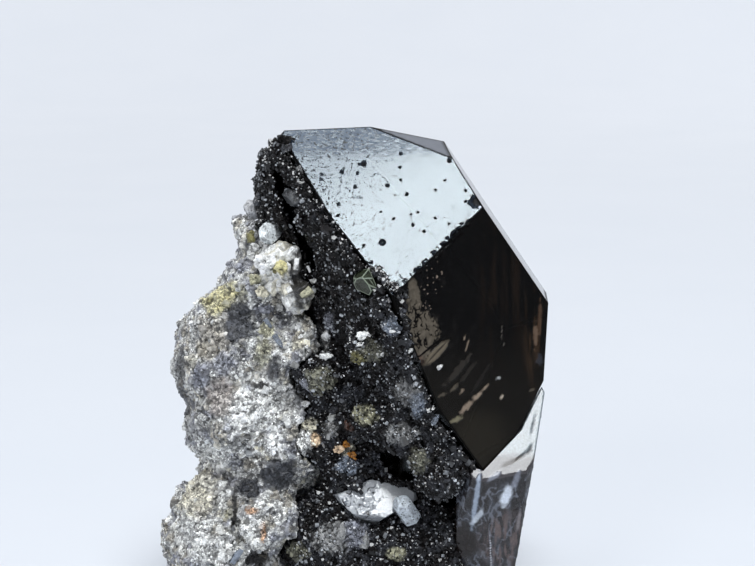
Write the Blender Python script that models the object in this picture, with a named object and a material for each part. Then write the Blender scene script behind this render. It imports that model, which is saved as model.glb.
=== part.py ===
"""Morion quartz on its matrix: a black smoky quartz crystal leaning over a lumpy, druse-coated rock.

The specimen stands on a flat cut base, +Z up, with the origin under the middle of its box.
It is modelled in millimetres in a display frame: x to the viewer's right, y up the view and
z toward the viewer, measured from the middle of the view. It is then turned upright and
scaled to metres.
"""

import math
import random

import bmesh
import bpy
from mathutils import Euler, Matrix, Vector, noise
from mathutils.bvhtree import BVHTree

METRES_PER_MM = 0.001

# The view looks this far down on the specimen, and its middle is this high above the base.
VIEW_DOWN_DEG = 10.0
VIEW_CENTRE_HEIGHT = 55.3

# Pieces that grew against each other stay this far apart.
TOUCH_GAP = 0.3
# A grown copy of a lumpy piece reaches a little further, so the gap holds in its creases.
LUMPY_GAP = 0.45

# The morion's axis, and the large prism face at its front right.
C_AXIS = Vector((-0.543, 0.7615, 0.3539))
FRONT_PRISM = Vector((0.514, -0.032, 0.857))
# Quartz has six rhombohedral faces, this far off the axis, above its six prism faces.
RHOMB_TILT_DEG = 51.79

# Distances of the morion's faces from the view's middle, going round from the front prism.
MORION_PRISM = (14.96, 21.03, 20.2, 14.2, 17.0, 16.5)
MORION_RHOMB = (13.54, 22.79, 21.95, 30.0, 18.2, 13.0)
MORION_ROOT = 34.0
# Under the druse the left side grew stepwise, along these planes: a normal and a distance.
MORION_STEPS = (
    (Vector((-0.811, 0.547, 0.207)), 26.0),
    (Vector((-0.757, -0.345, 0.556)), 7.84),
    (Vector((-0.493, -0.421, 0.762)), 11.9),
)
# The right flank, its lower end and the back broke off at the root.
FLANK = (Vector((0.996, -0.06, 0.06)), 27.4)
FLANK_END = (Vector((0.886, -0.464, 0.0)), 30.7)
BACK_BREAK = (Vector((0.564, -0.377, -0.733)), 30.3)

# The druse skin stands out from the same faces by these distances, and stays under the bare ones.
DRUSE_SKIN_PRISM = (0.0, -1.5, -1.5, 1.0, 2.0, 1.0)
DRUSE_SKIN_RHOMB = (0.0, -1.5, -1.5, 1.0, 1.6, 1.4)
DRUSE_SKIN_STEPS = (0.9, 1.3, 1.3)
DRUSE_FLANK_INSET = 6.0
DRUSE_ROOT_INSET = 4.0
DRUSE_DEPTH = 9.0

# Lumps are given by their middle and their half sizes.
DRUSE_LUMPS = (
    ((-1.7, -9.9, 9.2), (3.8, 3.2, 2.6)),
    ((-9.2, -15.2, 1.0), (4.4, 4.0, 3.6)),
    ((-1.7, -21.1, 3.0), (3.5, 3.3, 3.0)),
    ((4.0, -23.0, 4.4), (4.6, 4.2, 3.6)),
    ((10.0, -29.0, 5.0), (4.6, 5.4, 4.6)),
    ((-9.0, -24.0, -2.0), (5.5, 5.0, 5.0)),
    ((-5.2, -30.4, -1.8), (4.2, 3.4, 3.8)),
    ((3.0, -33.0, -7.0), (10.0, 8.0, 7.2)),
    ((-7.0, -41.0, -4.6), (9.0, 8.0, 7.0)),
    ((3.0, -43.5, -5.0), (10.0, 8.0, 7.5)),
    ((11.5, -43.0, -5.0), (6.5, 9.5, 8.0)),
    ((4.0, -52.0, -9.0), (13.0, 8.0, 9.0)),
    ((-14.4, 22.3, 3.8), (2.8, 1.6, 2.3)),
    ((-16.5, 17.5, -0.5), (3.2, 5.0, 3.6)),
    ((-17.0, 11.0, 0.0), (2.4, 4.5, 3.0)),
)
# A groove runs down between the morion and the rim on its left.
DRUSE_GROOVE = ((-12.8, 8.8, 4.0), (1.6, 11.5, 2.4), 18.0)
# An overhung hollow above the bright step.
DRUSE_HOLLOW = ((1.8, -29.0, 3.0), (5.6, 2.5, 5.5), -14.0)

MATRIX_LUMPS = (
    ((-23.0, -12.5, -8.5), (10.6, 12.6, 11.5)),
    ((-22.0, -21.0, -7.0), (10.6, 9.0, 11.0)),
    ((-18.5, -1.0, -6.0), (6.4, 8.0, 7.5)),
    ((-19.2, 6.0, -6.4), (4.0, 9.0, 6.5)),
    ((-18.6, 13.0, -7.0), (3.2, 6.0, 5.0)),
    ((-14.0, -22.0, -3.6), (7.0, 7.0, 6.0)),
    ((-13.0, -12.0, -3.0), (5.5, 9.0, 6.5)),
    ((-17.0, -27.0, -7.0), (8.0, 7.0, 9.0)),
    ((-24.5, -43.0, -9.0), (10.6, 13.0, 12.5)),
    ((-22.0, -53.0, -11.0), (12.5, 12.0, 14.5)),
    ((-17.5, -38.5, -1.0), (5.5, 6.0, 4.6)),
    ((-19.0, -22.0, -16.0), (13.0, 17.0, 9.5)),
    ((-10.0, -32.0, -18.0), (16.0, 24.0, 11.0)),
    ((-5.0, -52.0, -15.0), (20.0, 14.0, 14.0)),
    ((9.0, -50.0, -18.0), (13.0, 18.0, 12.0)),
    ((6.0, -34.0, -19.0), (13.0, 16.0, 9.5)),
    ((13.0, -38.0, -17.5), (8.0, 17.0, 9.0)),
)
# The rock broke off along these planes, behind and beside the crystals.
MATRIX_BREAKS = (
    ((0.1, 0.05, -1.0), (0.0, -30.0, -26.5)),
    ((-0.62, 0.35, -0.7), (-25.0, -8.0, -19.0)),
    ((-0.85, -0.1, -0.5), (-31.0, -40.0, -16.0)),
    ((-0.2, 0.75, -0.63), (-9.0, -1.0, -24.0)),
    ((0.86, -0.1, -0.5), (19.5, -45.0, -20.0)),
    ((0.55, 0.62, -0.56), (10.0, -24.0, -25.5)),
)
# A crevice down the lower left, and the crack under the chalky zone.
MATRIX_CREVICES = (
    ((-22.2, -38.0, 4.0), (0.9, 6.5, 4.0), 8.0),
    ((-18.5, -45.0, 3.0), (2.6, 2.4, 4.0), 0.0),
    ((-17.5, -16.7, 4.5), (3.6, 0.5, 2.2), -32.0),
)

# Noise has a size and a height for each of its scales. The seed shifts all of them together.
NOISE_SHIFT = Vector((3.1, 1.7, 2.3))
NOISE_DIMENSION, NOISE_LACUNARITY, NOISE_OCTAVES = 0.6, 2.0, 3
ROCK_VOXEL = 1.1
MATRIX_NOISE, MATRIX_SEED = ((11.0, 1.5), (4.6, 1.1), (2.2, 0.6)), 2
MATRIX_FACES = 2380
DRUSE_NOISE, DRUSE_SEED = ((4.0, 0.7), (1.7, 0.45)), 5
DRUSE_FACES = 1950

# White feldspar and one yellow crystal, fused in one cluster: each block's middle, size and turn.
FELDSPAR_LUMPS = (((-15.4, 2.6, 1.6), (3.6, 4.6, 2.2), 12.0), ((-12.6, -2.2, 2.6), (2.2, 3.0, 1.8)))
FELDSPAR_BLOCKS = (
    ((-16.6, 3.6, 3.6), (2.8, 2.6, 2.2), (20, 10, 30)),
    ((-15.2, 2.0, 4.2), (2.2, 2.0, 2.4), (10, 35, 10)),
    ((-13.6, 4.7, 4.0), (2.8, 1.3, 1.6), (25, 0, 30)),
    ((-12.8, 2.9, 4.2), (1.0, 3.2, 1.8), (0, 20, -8)),
    ((-18.4, 3.2, 1.6), (1.7, 2.0, 1.6), (0, -20, 25)),
    ((-18.9, -0.2, 1.0), (2.0, 2.6, 1.8), (15, -25, -20)),
    ((-16.6, -0.6, 2.8), (2.0, 1.8, 1.6), (30, 10, 45)),
    ((-14.4, -1.2, 3.8), (1.4, 2.0, 1.4), (-20, 15, 15)),
    ((-14.2, -3.2, 3.2), (1.3, 2.4, 1.4), (10, 20, 25)),
    ((-11.6, -1.6, 4.4), (2.4, 2.6, 1.9), (20, 25, 40)),
    ((-10.9, 1.8, 5.2), (0.8, 1.9, 1.0), (0, 30, 20)),
    ((-16.9, -3.9, 1.8), (1.8, 2.4, 1.4), (10, -10, -30)),
)
FELDSPAR_VOXEL = 0.6
FELDSPAR_NOISE, FELDSPAR_SEED = ((2.2, 0.5),), 3
FELDSPAR_FACES = 360

# Small quartz points stand on the druse, parallel to the morion but for a small swing.
DRUSE_POINTS = 84
DRUSE_POINT_SEED = 11
DRUSE_POINT_RADIUS = (0.7, 1.35)
DRUSE_POINT_ACROSS, DRUSE_POINT_UP = (-20.0, 18.0), (-50.0, 20.0)
DRUSE_POINT_SWING_DEG = 16.0
# Each point's length, its depth in the druse and its room to the next one, in radii.
DRUSE_POINT_LENGTH = 2.6
DRUSE_POINT_SINK = 0.4
DRUSE_POINT_ROOM = 1.1
# No point grows where the bare morion lies nearer than this under the druse.
BARE_MARGIN = 0.8

# Every second rhombohedral face of a small crystal lies further out, by this share of its radius.
SMALL_RHOMB_STEP = 0.25
DRUSE_RHOMB_STEP = 0.3

QUARTZ_IOR = 1.544
# Each piece's colour, roughness and transmission.
FINISHES = {
    "morion_crystal": ((0.012, 0.010, 0.010), 0.06, 0.0),
    "smoky_quartz_foot": ((0.20, 0.15, 0.12), 0.18, 0.5),
    "step_crystal": ((0.68, 0.72, 0.76), 0.12, 0.0),
    "green_crystal": ((0.10, 0.12, 0.07), 0.10, 0.4),
    "grey_quartz_outer": ((0.45, 0.45, 0.44), 0.30, 0.3),
    "grey_quartz_middle": ((0.40, 0.40, 0.40), 0.30, 0.3),
    "grey_quartz_valley": ((0.30, 0.29, 0.29), 0.25, 0.3),
    "pale_stub_crystal": ((0.42, 0.42, 0.44), 0.30, 0.2),
    "feldspar_cluster": ((0.80, 0.78, 0.68), 0.55, 0.0),
    "quartz_druse": ((0.030, 0.027, 0.030), 0.25, 0.0),
    "matrix_rock": ((0.36, 0.33, 0.28), 0.80, 0.0),
}

# A block is cut from a cube of this size, which is larger than the whole specimen.
STONE_SIZE = 200.0


def clear_scene():
    for obj in list(bpy.data.objects):
        bpy.data.objects.remove(obj)


def material(name, colour, roughness, transmission):
    """A plain stone material. Clear quartz has a transmission as well."""
    made = bpy.data.materials.new(name)
    made.use_nodes = True
    shader = made.node_tree.nodes["Principled BSDF"]
    shader.inputs["Base Color"].default_value = (*colour, 1.0)
    shader.inputs["Roughness"].default_value = roughness
    shader.inputs["Transmission Weight"].default_value = transmission
    shader.inputs["IOR"].default_value = QUARTZ_IOR
    return made


def finish_pieces():
    for name, finish in FINISHES.items():
        mesh = bpy.data.objects[name].data
        mesh.materials.clear()
        mesh.materials.append(material(name, *finish))


def object_from(name, bm):
    """Turns a bmesh into a linked object and frees the bmesh."""
    mesh = bpy.data.meshes.new(name)
    bm.to_mesh(mesh)
    bm.free()
    obj = bpy.data.objects.new(name, mesh)
    bpy.context.scene.collection.objects.link(obj)
    return obj


def apply_modifiers(obj):
    """Keeps the object's evaluated mesh and drops its modifiers."""
    bpy.context.view_layer.update()
    graph = bpy.context.evaluated_depsgraph_get()
    mesh = bpy.data.meshes.new_from_object(obj.evaluated_get(graph))
    obj.modifiers.clear()
    obj.data = mesh


def combine(obj, other, operation):
    """Joins another closed object to this one or cuts it away, and removes the other one."""
    step = obj.modifiers.new(operation.lower(), "BOOLEAN")
    step.operation = operation
    step.solver = "MANIFOLD"
    step.object = other
    apply_modifiers(obj)
    bpy.data.objects.remove(other)


def keep_largest_body(obj):
    """Deletes the loose crumbs that a cut can leave."""
    bm = bmesh.new()
    bm.from_mesh(obj.data)
    bodies = []
    unseen = set(bm.verts)
    while unseen:
        body = {unseen.pop()}
        front = list(body)
        while front:
            near = {e.other_vert(v) for v in front for e in v.link_edges} - body
            body |= near
            front = list(near)
        unseen -= body
        bodies.append(body)
    bodies.sort(key=len)
    bmesh.ops.delete(bm, geom=[v for body in bodies[:-1] for v in body], context="VERTS")
    bm.to_mesh(obj.data)
    bm.free()


def cut_flat(bm, normal, offset):
    """Cuts away what lies beyond a plane, in a convex solid, and closes the cut."""
    normal = normal.normalized()
    cut = bmesh.ops.bisect_plane(
        bm,
        geom=bm.verts[:] + bm.edges[:] + bm.faces[:],
        plane_co=normal * offset,
        plane_no=normal,
        clear_outer=True,
    )
    rim = [e for e in cut["geom_cut"] if isinstance(e, bmesh.types.BMEdge)]
    if rim:
        bmesh.ops.edgenet_fill(bm, edges=rim)


def convex_block(planes, grow=0.0):
    """A bmesh bounded by planes, each a normal and a distance, all moved out by grow."""
    bm = bmesh.new()
    bmesh.ops.create_cube(bm, size=STONE_SIZE)
    for normal, offset in planes:
        cut_flat(bm, normal, offset + grow)
    bmesh.ops.recalc_face_normals(bm, faces=bm.faces[:])
    return bm


def grown(planes):
    """A block that reaches a little further than its planes, to cut its neighbours with."""
    return object_from("grown", convex_block(planes, TOUCH_GAP))


def add_block(bm, planes):
    """Adds one convex block to a bmesh that holds other bodies."""
    block = convex_block(planes)
    mesh = bpy.data.meshes.new("block")
    block.to_mesh(mesh)
    block.free()
    bm.from_mesh(mesh)


def crystal_frame(axis, front):
    """Rotation from a crystal's own frame, z along its axis, to the display frame."""
    z = axis.normalized()
    x = (front - z * front.dot(z)).normalized()
    return Matrix((x, z.cross(x), z)).transposed()


def quartz_planes(frame, prism, rhomb, root, centre=Vector()):
    """The six prism faces, six rhombohedral faces and root of one quartz crystal."""
    tilt = math.radians(RHOMB_TILT_DEG)
    planes = []
    for k in range(6):
        turn = math.radians(60 * k)
        flat = Vector((math.cos(turn), math.sin(turn), 0))
        slanted = flat * math.sin(tilt) + Vector((0, 0, math.cos(tilt)))
        planes.append((frame @ flat, prism[k]))
        planes.append((frame @ slanted, rhomb[k]))
    planes.append((frame @ Vector((0, 0, -1)), root))
    return [(normal, offset + normal.dot(centre)) for normal, offset in planes]


def through(normal, point):
    """A plane given by its normal and one point on it."""
    normal = Vector(normal).normalized()
    return normal, normal.dot(Vector(point))


MORION_FRAME = crystal_frame(C_AXIS, FRONT_PRISM)


def morion_planes():
    planes = quartz_planes(MORION_FRAME, MORION_PRISM, MORION_RHOMB, MORION_ROOT)
    return planes + [*MORION_STEPS, FLANK, FLANK_END, BACK_BREAK]


def foot_planes():
    """The paler crystal under the morion: its bright ledge lies parallel to the morion's top."""
    ledge_normal = quartz_planes(MORION_FRAME, MORION_PRISM, MORION_RHOMB, 0)[1][0]
    return [
        (ledge_normal, -5.9),
        through((0.984, -0.17, 0.06), (24.6, -29.0, 3.0)),
        through((0.74, -0.22, 0.63), (22.9, -34.0, 5.4)),
        through((0.2, -0.25, 0.947), (20.0, -29.7, 7.0)),
        through((-0.3, -0.35, 0.89), (17.5, -38.0, 5.4)),
        through((-0.8, -0.05, 0.6), (14.9, -31.0, 7.5)),
        through((0.35, -0.6, 0.72), (21.0, -50.0, 1.2)),
        through((-1.0, 0.0, 0.0), (12.5, 0.0, 0.0)),
        through((0.25, 0.1, -0.96), (16.0, -40.0, -14.0)),
        through((0.8, 0.1, -0.59), (23.0, -35.0, -8.0)),
        through((0.05, 0.86, -0.5), (27.0, -14.8, -1.0)),
    ]


def step_planes():
    """The bright step low in the druse, its top parallel to the morion's top."""
    top_normal = quartz_planes(MORION_FRAME, MORION_PRISM, MORION_RHOMB, 0)[1][0]
    return [
        through(top_normal, (-0.5, -34.6, 1.2)),
        through((0.22, 0.96, -0.15), (0.0, -31.6, 0.0)),
        through((-0.38, 0.92, 0.1), (-3.7, -32.6, 0.0)),
        through((-0.9, -0.3, 0.3), (-6.5, -33.9, 0.5)),
        through((-0.69, -0.72, 0.1), (-4.9, -36.0, 0.5)),
        through((-0.1, -0.92, 0.38), (-1.0, -37.4, 1.5)),
        through((0.5, -0.85, 0.15), (2.0, -37.0, 1.0)),
        through((0.87, 0.1, 0.3), (5.9, -33.7, 0.0)),
        through((0.55, 0.83, 0.1), (4.9, -32.9, 0.0)),
        through((0.0, 0.0, -1.0), (0.0, -34.0, -7.0)),
    ]


def small_crystal(centre, turn_deg, radius, length, flatness=1.0):
    """The planes of a small quartz crystal, its axis turned from straight up by angles in degrees."""
    turn = Euler([math.radians(a) for a in turn_deg]).to_matrix()
    prism = [radius * (flatness if k % 3 == 0 else 1.0) for k in range(6)]
    tip = length / 2 * math.cos(math.radians(RHOMB_TILT_DEG))
    rhomb = [tip + (SMALL_RHOMB_STEP * radius if k % 2 else 0.0) for k in range(6)]
    return quartz_planes(turn, prism, rhomb, length / 2, Vector(centre))


SMALL_CRYSTALS = {
    "green_crystal": small_crystal((-1.7, 0.6, 13.5), (-12, -20, 8), 2.1, 3.8),
    "grey_quartz_outer": small_crystal((-20.2, 11.8, -3.6), (8, 4, 20), 1.35, 6.4, 0.8),
    "grey_quartz_middle": small_crystal((-17.2, 8.0, 1.6), (14, -16, 10), 1.6, 5.6, 0.8),
    "grey_quartz_valley": small_crystal((-12.9, 13.4, 5.6), (24, 10, 35), 1.3, 5.0, 0.85),
    "pale_stub_crystal": small_crystal((4.3, -35.7, 2.2), (-46, -40, 0), 1.45, 5.6),
}


def ellipsoid(bm, middle, half_sizes, lean_deg=0.0):
    """Adds one lump, leaning in the view's plane."""
    place = (
        Matrix.Translation(middle)
        @ Matrix.Rotation(math.radians(lean_deg), 4, "Z")
        @ Matrix.Diagonal((*half_sizes, 1.0))
    )
    bmesh.ops.create_icosphere(bm, subdivisions=3, radius=1.0, matrix=place)


def push_out(mesh, height_at):
    """Moves each point along its normal, by the height that a function gives for its place."""
    moved = [v.co + v.normal * height_at(v.co) for v in mesh.vertices]
    for v, place in zip(mesh.vertices, moved):
        v.co = place


def roughen(obj, scales, seed):
    """Pushes the surface in and out by noise of several scales."""

    def height_at(place):
        shifted = place + seed * NOISE_SHIFT
        return sum(
            height * noise.fractal(shifted / size, NOISE_DIMENSION, NOISE_LACUNARITY, NOISE_OCTAVES)
            for size, height in scales
        )

    push_out(obj.data, height_at)


def remeshed(obj, voxel):
    step = obj.modifiers.new("even", "REMESH")
    step.mode = "VOXEL"
    step.voxel_size = voxel
    apply_modifiers(obj)


def thinned(obj, faces):
    """Thins the mesh to about this many triangles."""
    count = sum(len(p.vertices) - 2 for p in obj.data.polygons)
    step = obj.modifiers.new("thin", "DECIMATE")
    step.ratio = min(1.0, faces / count)
    apply_modifiers(obj)


def lumpy_mass(name, lumps, scales, seed, block=None, breaks=()):
    """One closed lumpy mass: overlapping lumps, joined with a convex block and broken along planes."""
    bm = bmesh.new()
    for lump in lumps:
        ellipsoid(bm, *lump)
    if block:
        add_block(bm, block)
    obj = object_from(name, bm)
    remeshed(obj, ROCK_VOXEL)
    if breaks:
        broken = convex_block([through(normal, point) for normal, point in breaks])
        combine(obj, object_from("breaks", broken), "INTERSECT")
        remeshed(obj, ROCK_VOXEL)
    roughen(obj, scales, seed)
    remeshed(obj, ROCK_VOXEL)
    return obj


def carve(obj, hollows):
    for hollow in hollows:
        bm = bmesh.new()
        ellipsoid(bm, *hollow)
        combine(obj, object_from("hollow", bm), "DIFFERENCE")


def druse_skin_planes():
    prism = [a + b for a, b in zip(MORION_PRISM, DRUSE_SKIN_PRISM)]
    rhomb = [a + b for a, b in zip(MORION_RHOMB, DRUSE_SKIN_RHOMB)]
    planes = quartz_planes(MORION_FRAME, prism, rhomb, MORION_ROOT - DRUSE_ROOT_INSET)
    steps = [(step[0], step[1] + skin) for step, skin in zip(MORION_STEPS, DRUSE_SKIN_STEPS)]
    flank = (FLANK[0], FLANK[1] - DRUSE_FLANK_INSET)
    return planes + steps + [flank, (Vector((0, 0, -1)), DRUSE_DEPTH)]


def druse_point_list(mass):
    """Where small quartz points stand on the druse: each a middle, a frame, a radius, a length."""
    rng = random.Random(DRUSE_POINT_SEED)
    swing = math.radians(DRUSE_POINT_SWING_DEG)
    bm = bmesh.new()
    bm.from_mesh(mass.data)
    tree = BVHTree.FromBMesh(bm)
    bm.free()
    morion = BVHTree.FromBMesh(convex_block(morion_planes()))
    points = []
    while len(points) < DRUSE_POINTS:
        x, y = rng.uniform(*DRUSE_POINT_ACROSS), rng.uniform(*DRUSE_POINT_UP)
        ray = (Vector((x, y, STONE_SIZE)), Vector((0, 0, -1)))
        hit, normal, _, depth = tree.ray_cast(*ray)
        bare = morion.ray_cast(*ray)
        if hit is None or (bare[0] is not None and bare[3] < depth + BARE_MARGIN):
            continue
        radius = rng.uniform(*DRUSE_POINT_RADIUS)
        if any((hit - other[0]).length < DRUSE_POINT_ROOM * (radius + other[2]) for other in points):
            continue
        turn = Euler([rng.uniform(-swing, swing) for _ in range(3)]).to_matrix() @ MORION_FRAME
        points.append((hit - normal * radius * DRUSE_POINT_SINK, turn, radius, radius * DRUSE_POINT_LENGTH))
    return points


def druse_point_planes(middle, frame, radius, length):
    tip = length / 2 * math.cos(math.radians(RHOMB_TILT_DEG))
    rhomb = [tip + (DRUSE_RHOMB_STEP * radius if k % 2 else 0.0) for k in range(6)]
    return quartz_planes(frame, [radius] * 6, rhomb, length / 2, middle)


def feldspar_cluster(grow=0.0):
    """Blocky white crystals, fused on one another and on two low lumps, all reaching out by grow."""
    bm = bmesh.new()
    for lump in FELDSPAR_LUMPS:
        ellipsoid(bm, *lump)
    cluster = object_from("feldspar_cluster", bm)
    remeshed(cluster, FELDSPAR_VOXEL)
    roughen(cluster, FELDSPAR_NOISE, FELDSPAR_SEED)
    thinned(cluster, FELDSPAR_FACES)
    push_out(cluster.data, lambda place: grow)
    for middle, size, turn_deg in FELDSPAR_BLOCKS:
        turn = Euler([math.radians(a) for a in turn_deg]).to_matrix().to_4x4()
        grown_size = [side + 2 * grow for side in size]
        place = Matrix.Translation(middle) @ turn @ Matrix.Diagonal((*grown_size, 1.0))
        block = bmesh.new()
        bmesh.ops.create_cube(block, size=1.0, matrix=place)
        combine(cluster, object_from("block", block), "UNION")
    return cluster


def base_block():
    """Everything under the flat base."""
    bm = bmesh.new()
    down = math.radians(VIEW_DOWN_DEG)
    up = Vector((0, math.cos(down), math.sin(down)))
    bmesh.ops.create_cube(bm, size=STONE_SIZE)
    cut_flat(bm, up, -VIEW_CENTRE_HEIGHT)
    return object_from("base", bm)


def grown_mass(mass):
    """A copy of a lumpy mass that reaches a little further everywhere."""
    copy = bpy.data.objects.new("grown", mass.data.copy())
    bpy.context.scene.collection.objects.link(copy)
    push_out(copy.data, lambda place: LUMPY_GAP)
    return copy


def place_upright():
    """Turns every piece upright, with the origin under the middle of the whole box, in metres."""
    upright = Matrix.Rotation(math.radians(90 - VIEW_DOWN_DEG), 4, "X")
    for obj in bpy.data.objects:
        obj.data.transform(upright)
    points = [v.co for obj in bpy.data.objects for v in obj.data.vertices]
    low, high = ([side(p[i] for p in points) for i in range(3)] for side in (min, max))
    middle = Vector(((low[0] + high[0]) / 2, (low[1] + high[1]) / 2, low[2]))
    for obj in bpy.data.objects:
        obj.data.transform(Matrix.Scale(METRES_PER_MM, 4) @ Matrix.Translation(-middle))


def build_crystals():
    """The faceted crystals, each clear of the morion."""
    object_from("morion_crystal", convex_block(morion_planes()))
    foot = object_from("smoky_quartz_foot", convex_block(foot_planes()))
    step = object_from("step_crystal", convex_block(step_planes()))
    smalls = [object_from(name, convex_block(planes)) for name, planes in SMALL_CRYSTALS.items()]
    combine(foot, base_block(), "DIFFERENCE")
    combine(step, grown(SMALL_CRYSTALS["pale_stub_crystal"]), "DIFFERENCE")
    for obj in (foot, step, *smalls):
        combine(obj, grown(morion_planes()), "DIFFERENCE")
        keep_largest_body(obj)


def build_druse():
    """The druse with its points. It also gives a larger copy and the points' planes, as cutters."""
    druse = lumpy_mass("quartz_druse", DRUSE_LUMPS, DRUSE_NOISE, DRUSE_SEED, block=druse_skin_planes())
    carve(druse, (DRUSE_GROOVE, DRUSE_HOLLOW))
    thinned(druse, DRUSE_FACES)
    reach = grown_mass(druse)
    points = [druse_point_planes(*point) for point in druse_point_list(druse)]
    for planes in points:
        combine(druse, object_from("point", convex_block(planes)), "UNION")
    return druse, reach, points


def build_matrix():
    matrix = lumpy_mass("matrix_rock", MATRIX_LUMPS, MATRIX_NOISE, MATRIX_SEED, breaks=MATRIX_BREAKS)
    carve(matrix, MATRIX_CREVICES)
    thinned(matrix, MATRIX_FACES)
    return matrix


def clear_of_crystals(obj):
    """Cuts a mass back from every crystal that grew on it, and off flat at the base."""
    combine(obj, feldspar_cluster(TOUCH_GAP), "DIFFERENCE")
    for planes in (morion_planes(), foot_planes(), step_planes(), *SMALL_CRYSTALS.values()):
        combine(obj, grown(planes), "DIFFERENCE")
    combine(obj, base_block(), "DIFFERENCE")


def main():
    clear_scene()
    build_crystals()
    feldspar = feldspar_cluster()
    for planes in (morion_planes(), *SMALL_CRYSTALS.values()):
        combine(feldspar, grown(planes), "DIFFERENCE")
    druse, druse_reach, points = build_druse()
    matrix = build_matrix()
    clear_of_crystals(druse)
    clear_of_crystals(matrix)
    for planes in points:
        combine(matrix, grown(planes), "DIFFERENCE")
    combine(matrix, druse_reach, "DIFFERENCE")
    for obj in (feldspar, druse, matrix):
        keep_largest_body(obj)
    place_upright()
    finish_pieces()


main()
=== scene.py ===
"""Looks of a morion quartz specimen: a black glassy crystal, its sparkling druse and its pale rock.

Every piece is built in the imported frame, in metres. Sizes below are in millimetres. Places on the
specimen are either in its display frame (x to the viewer's right, y up the view and z toward the
viewer, from a point fixed to the morion's box), or are given as seen: where the viewer's line of
sight to them crosses that frame's plane z = 0.
"""

import logging
import math
from dataclasses import dataclass, field
from enum import Enum
from typing import Any, Callable, Iterable, Iterator, Sequence

import bmesh
import bpy
import numpy as np
from mathutils import Euler, Matrix, Vector, noise
from mathutils.bvhtree import BVHTree


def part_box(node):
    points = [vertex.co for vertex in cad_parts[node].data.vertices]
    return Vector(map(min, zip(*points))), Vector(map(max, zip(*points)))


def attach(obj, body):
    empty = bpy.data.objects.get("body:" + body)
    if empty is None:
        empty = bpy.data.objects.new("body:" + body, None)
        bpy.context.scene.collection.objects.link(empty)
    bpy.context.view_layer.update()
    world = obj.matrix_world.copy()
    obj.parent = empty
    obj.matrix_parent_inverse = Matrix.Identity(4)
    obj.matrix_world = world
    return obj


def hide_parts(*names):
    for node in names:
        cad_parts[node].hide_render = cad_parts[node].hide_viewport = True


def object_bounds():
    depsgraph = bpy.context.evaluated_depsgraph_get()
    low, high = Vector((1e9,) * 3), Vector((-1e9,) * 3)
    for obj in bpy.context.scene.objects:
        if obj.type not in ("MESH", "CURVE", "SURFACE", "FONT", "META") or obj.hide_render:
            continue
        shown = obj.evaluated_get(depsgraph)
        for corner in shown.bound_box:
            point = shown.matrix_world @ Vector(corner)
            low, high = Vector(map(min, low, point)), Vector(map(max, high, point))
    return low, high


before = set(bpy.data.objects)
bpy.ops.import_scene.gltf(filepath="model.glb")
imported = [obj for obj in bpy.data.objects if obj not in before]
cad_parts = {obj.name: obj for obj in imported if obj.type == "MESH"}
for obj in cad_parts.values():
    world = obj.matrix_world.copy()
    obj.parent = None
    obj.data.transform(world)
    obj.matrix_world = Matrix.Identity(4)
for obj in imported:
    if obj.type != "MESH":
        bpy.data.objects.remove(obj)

log = logging.getLogger("morion")

CAD_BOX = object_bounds()
BODY = "root"
MM = 0.001

IMAGE_WIDTH = 755
FOCAL_PIXELS = 2000.0
SENSOR_MM = 36.0
VIEW_DISTANCE = 320.0
VIEW_DOWN = math.radians(10.0)
VIEW_FROM_MORION_CORNER = Vector((18.643, 16.103, 38.72)) * MM
DISPLAY_TURN = Matrix.Rotation(math.pi / 2 - VIEW_DOWN, 3, "X")
VIEW_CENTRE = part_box("morion_crystal")[0] + VIEW_FROM_MORION_CORNER

QUARTZ_IOR = 1.544
RHOMB_TILT = math.radians(51.79)

Colour = tuple[float, float, float]


class Face(Enum):
    """The morion's faces in the display frame: the outward normal and the distance in millimetres."""

    BRIGHT = (0.068, 0.446, 0.893, 13.54)
    DARK = (0.514, -0.032, 0.857, 14.96)
    SIDE = (0.832, 0.544, 0.105, 21.03)
    TOP = (0.318, 0.899, 0.302, 22.79)

    @property
    def normal(self) -> Vector:
        """The outward normal in the display frame."""
        return Vector(self.value[:3]).normalized()

    @property
    def direction(self) -> Vector:
        """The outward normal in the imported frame."""
        return DISPLAY_TURN @ self.normal

    def depths(self, points: np.ndarray) -> np.ndarray:
        """How far points of the display frame lie under the face."""
        return self.value[3] - points @ np.array(self.normal)


class Mineral(Enum):
    """Base colours of the minerals, from 0 to 255 as the eye reads them."""

    CHALK = (250, 250, 247)
    MILK = (234, 234, 231)
    CREAM = (214, 208, 188)
    SAND = (176, 173, 146)
    YELLOW = (206, 198, 148)
    OLIVE = (122, 117, 78)
    TAN = (174, 168, 156)
    PINK = (168, 159, 153)
    PEACH = (226, 196, 162)
    IRON = (206, 138, 62)
    BROWN = (66, 44, 36)
    VIOLET = (147, 149, 159)
    STEEL = (140, 149, 163)
    GREY = (157, 157, 156)
    SLATE = (74, 76, 82)
    MOSS = (128, 127, 112)
    NIGHT = (22, 19, 19)

    @property
    def colour(self) -> Colour:
        """The colour as the renderer takes it."""
        return tuple((c / 255) ** 2.2 for c in self.value)


def display(x: float, y: float, z: float) -> Vector:
    """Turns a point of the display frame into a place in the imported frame."""
    return VIEW_CENTRE + DISPLAY_TURN @ Vector((x, y, z)) * MM


def shown(place: Vector) -> Vector:
    """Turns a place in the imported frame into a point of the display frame."""
    return DISPLAY_TURN.transposed() @ (place - VIEW_CENTRE) / MM


def all_shown(places: np.ndarray) -> np.ndarray:
    """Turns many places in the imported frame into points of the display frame."""
    return (places - np.array(VIEW_CENTRE)) @ np.array(DISPLAY_TURN) / MM


def all_seen(points: np.ndarray) -> np.ndarray:
    """Where the lines of sight to points of the display frame cross its plane z = 0."""
    return points[:, :2] / (1 - points[:, 2:3] / VIEW_DISTANCE)


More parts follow.
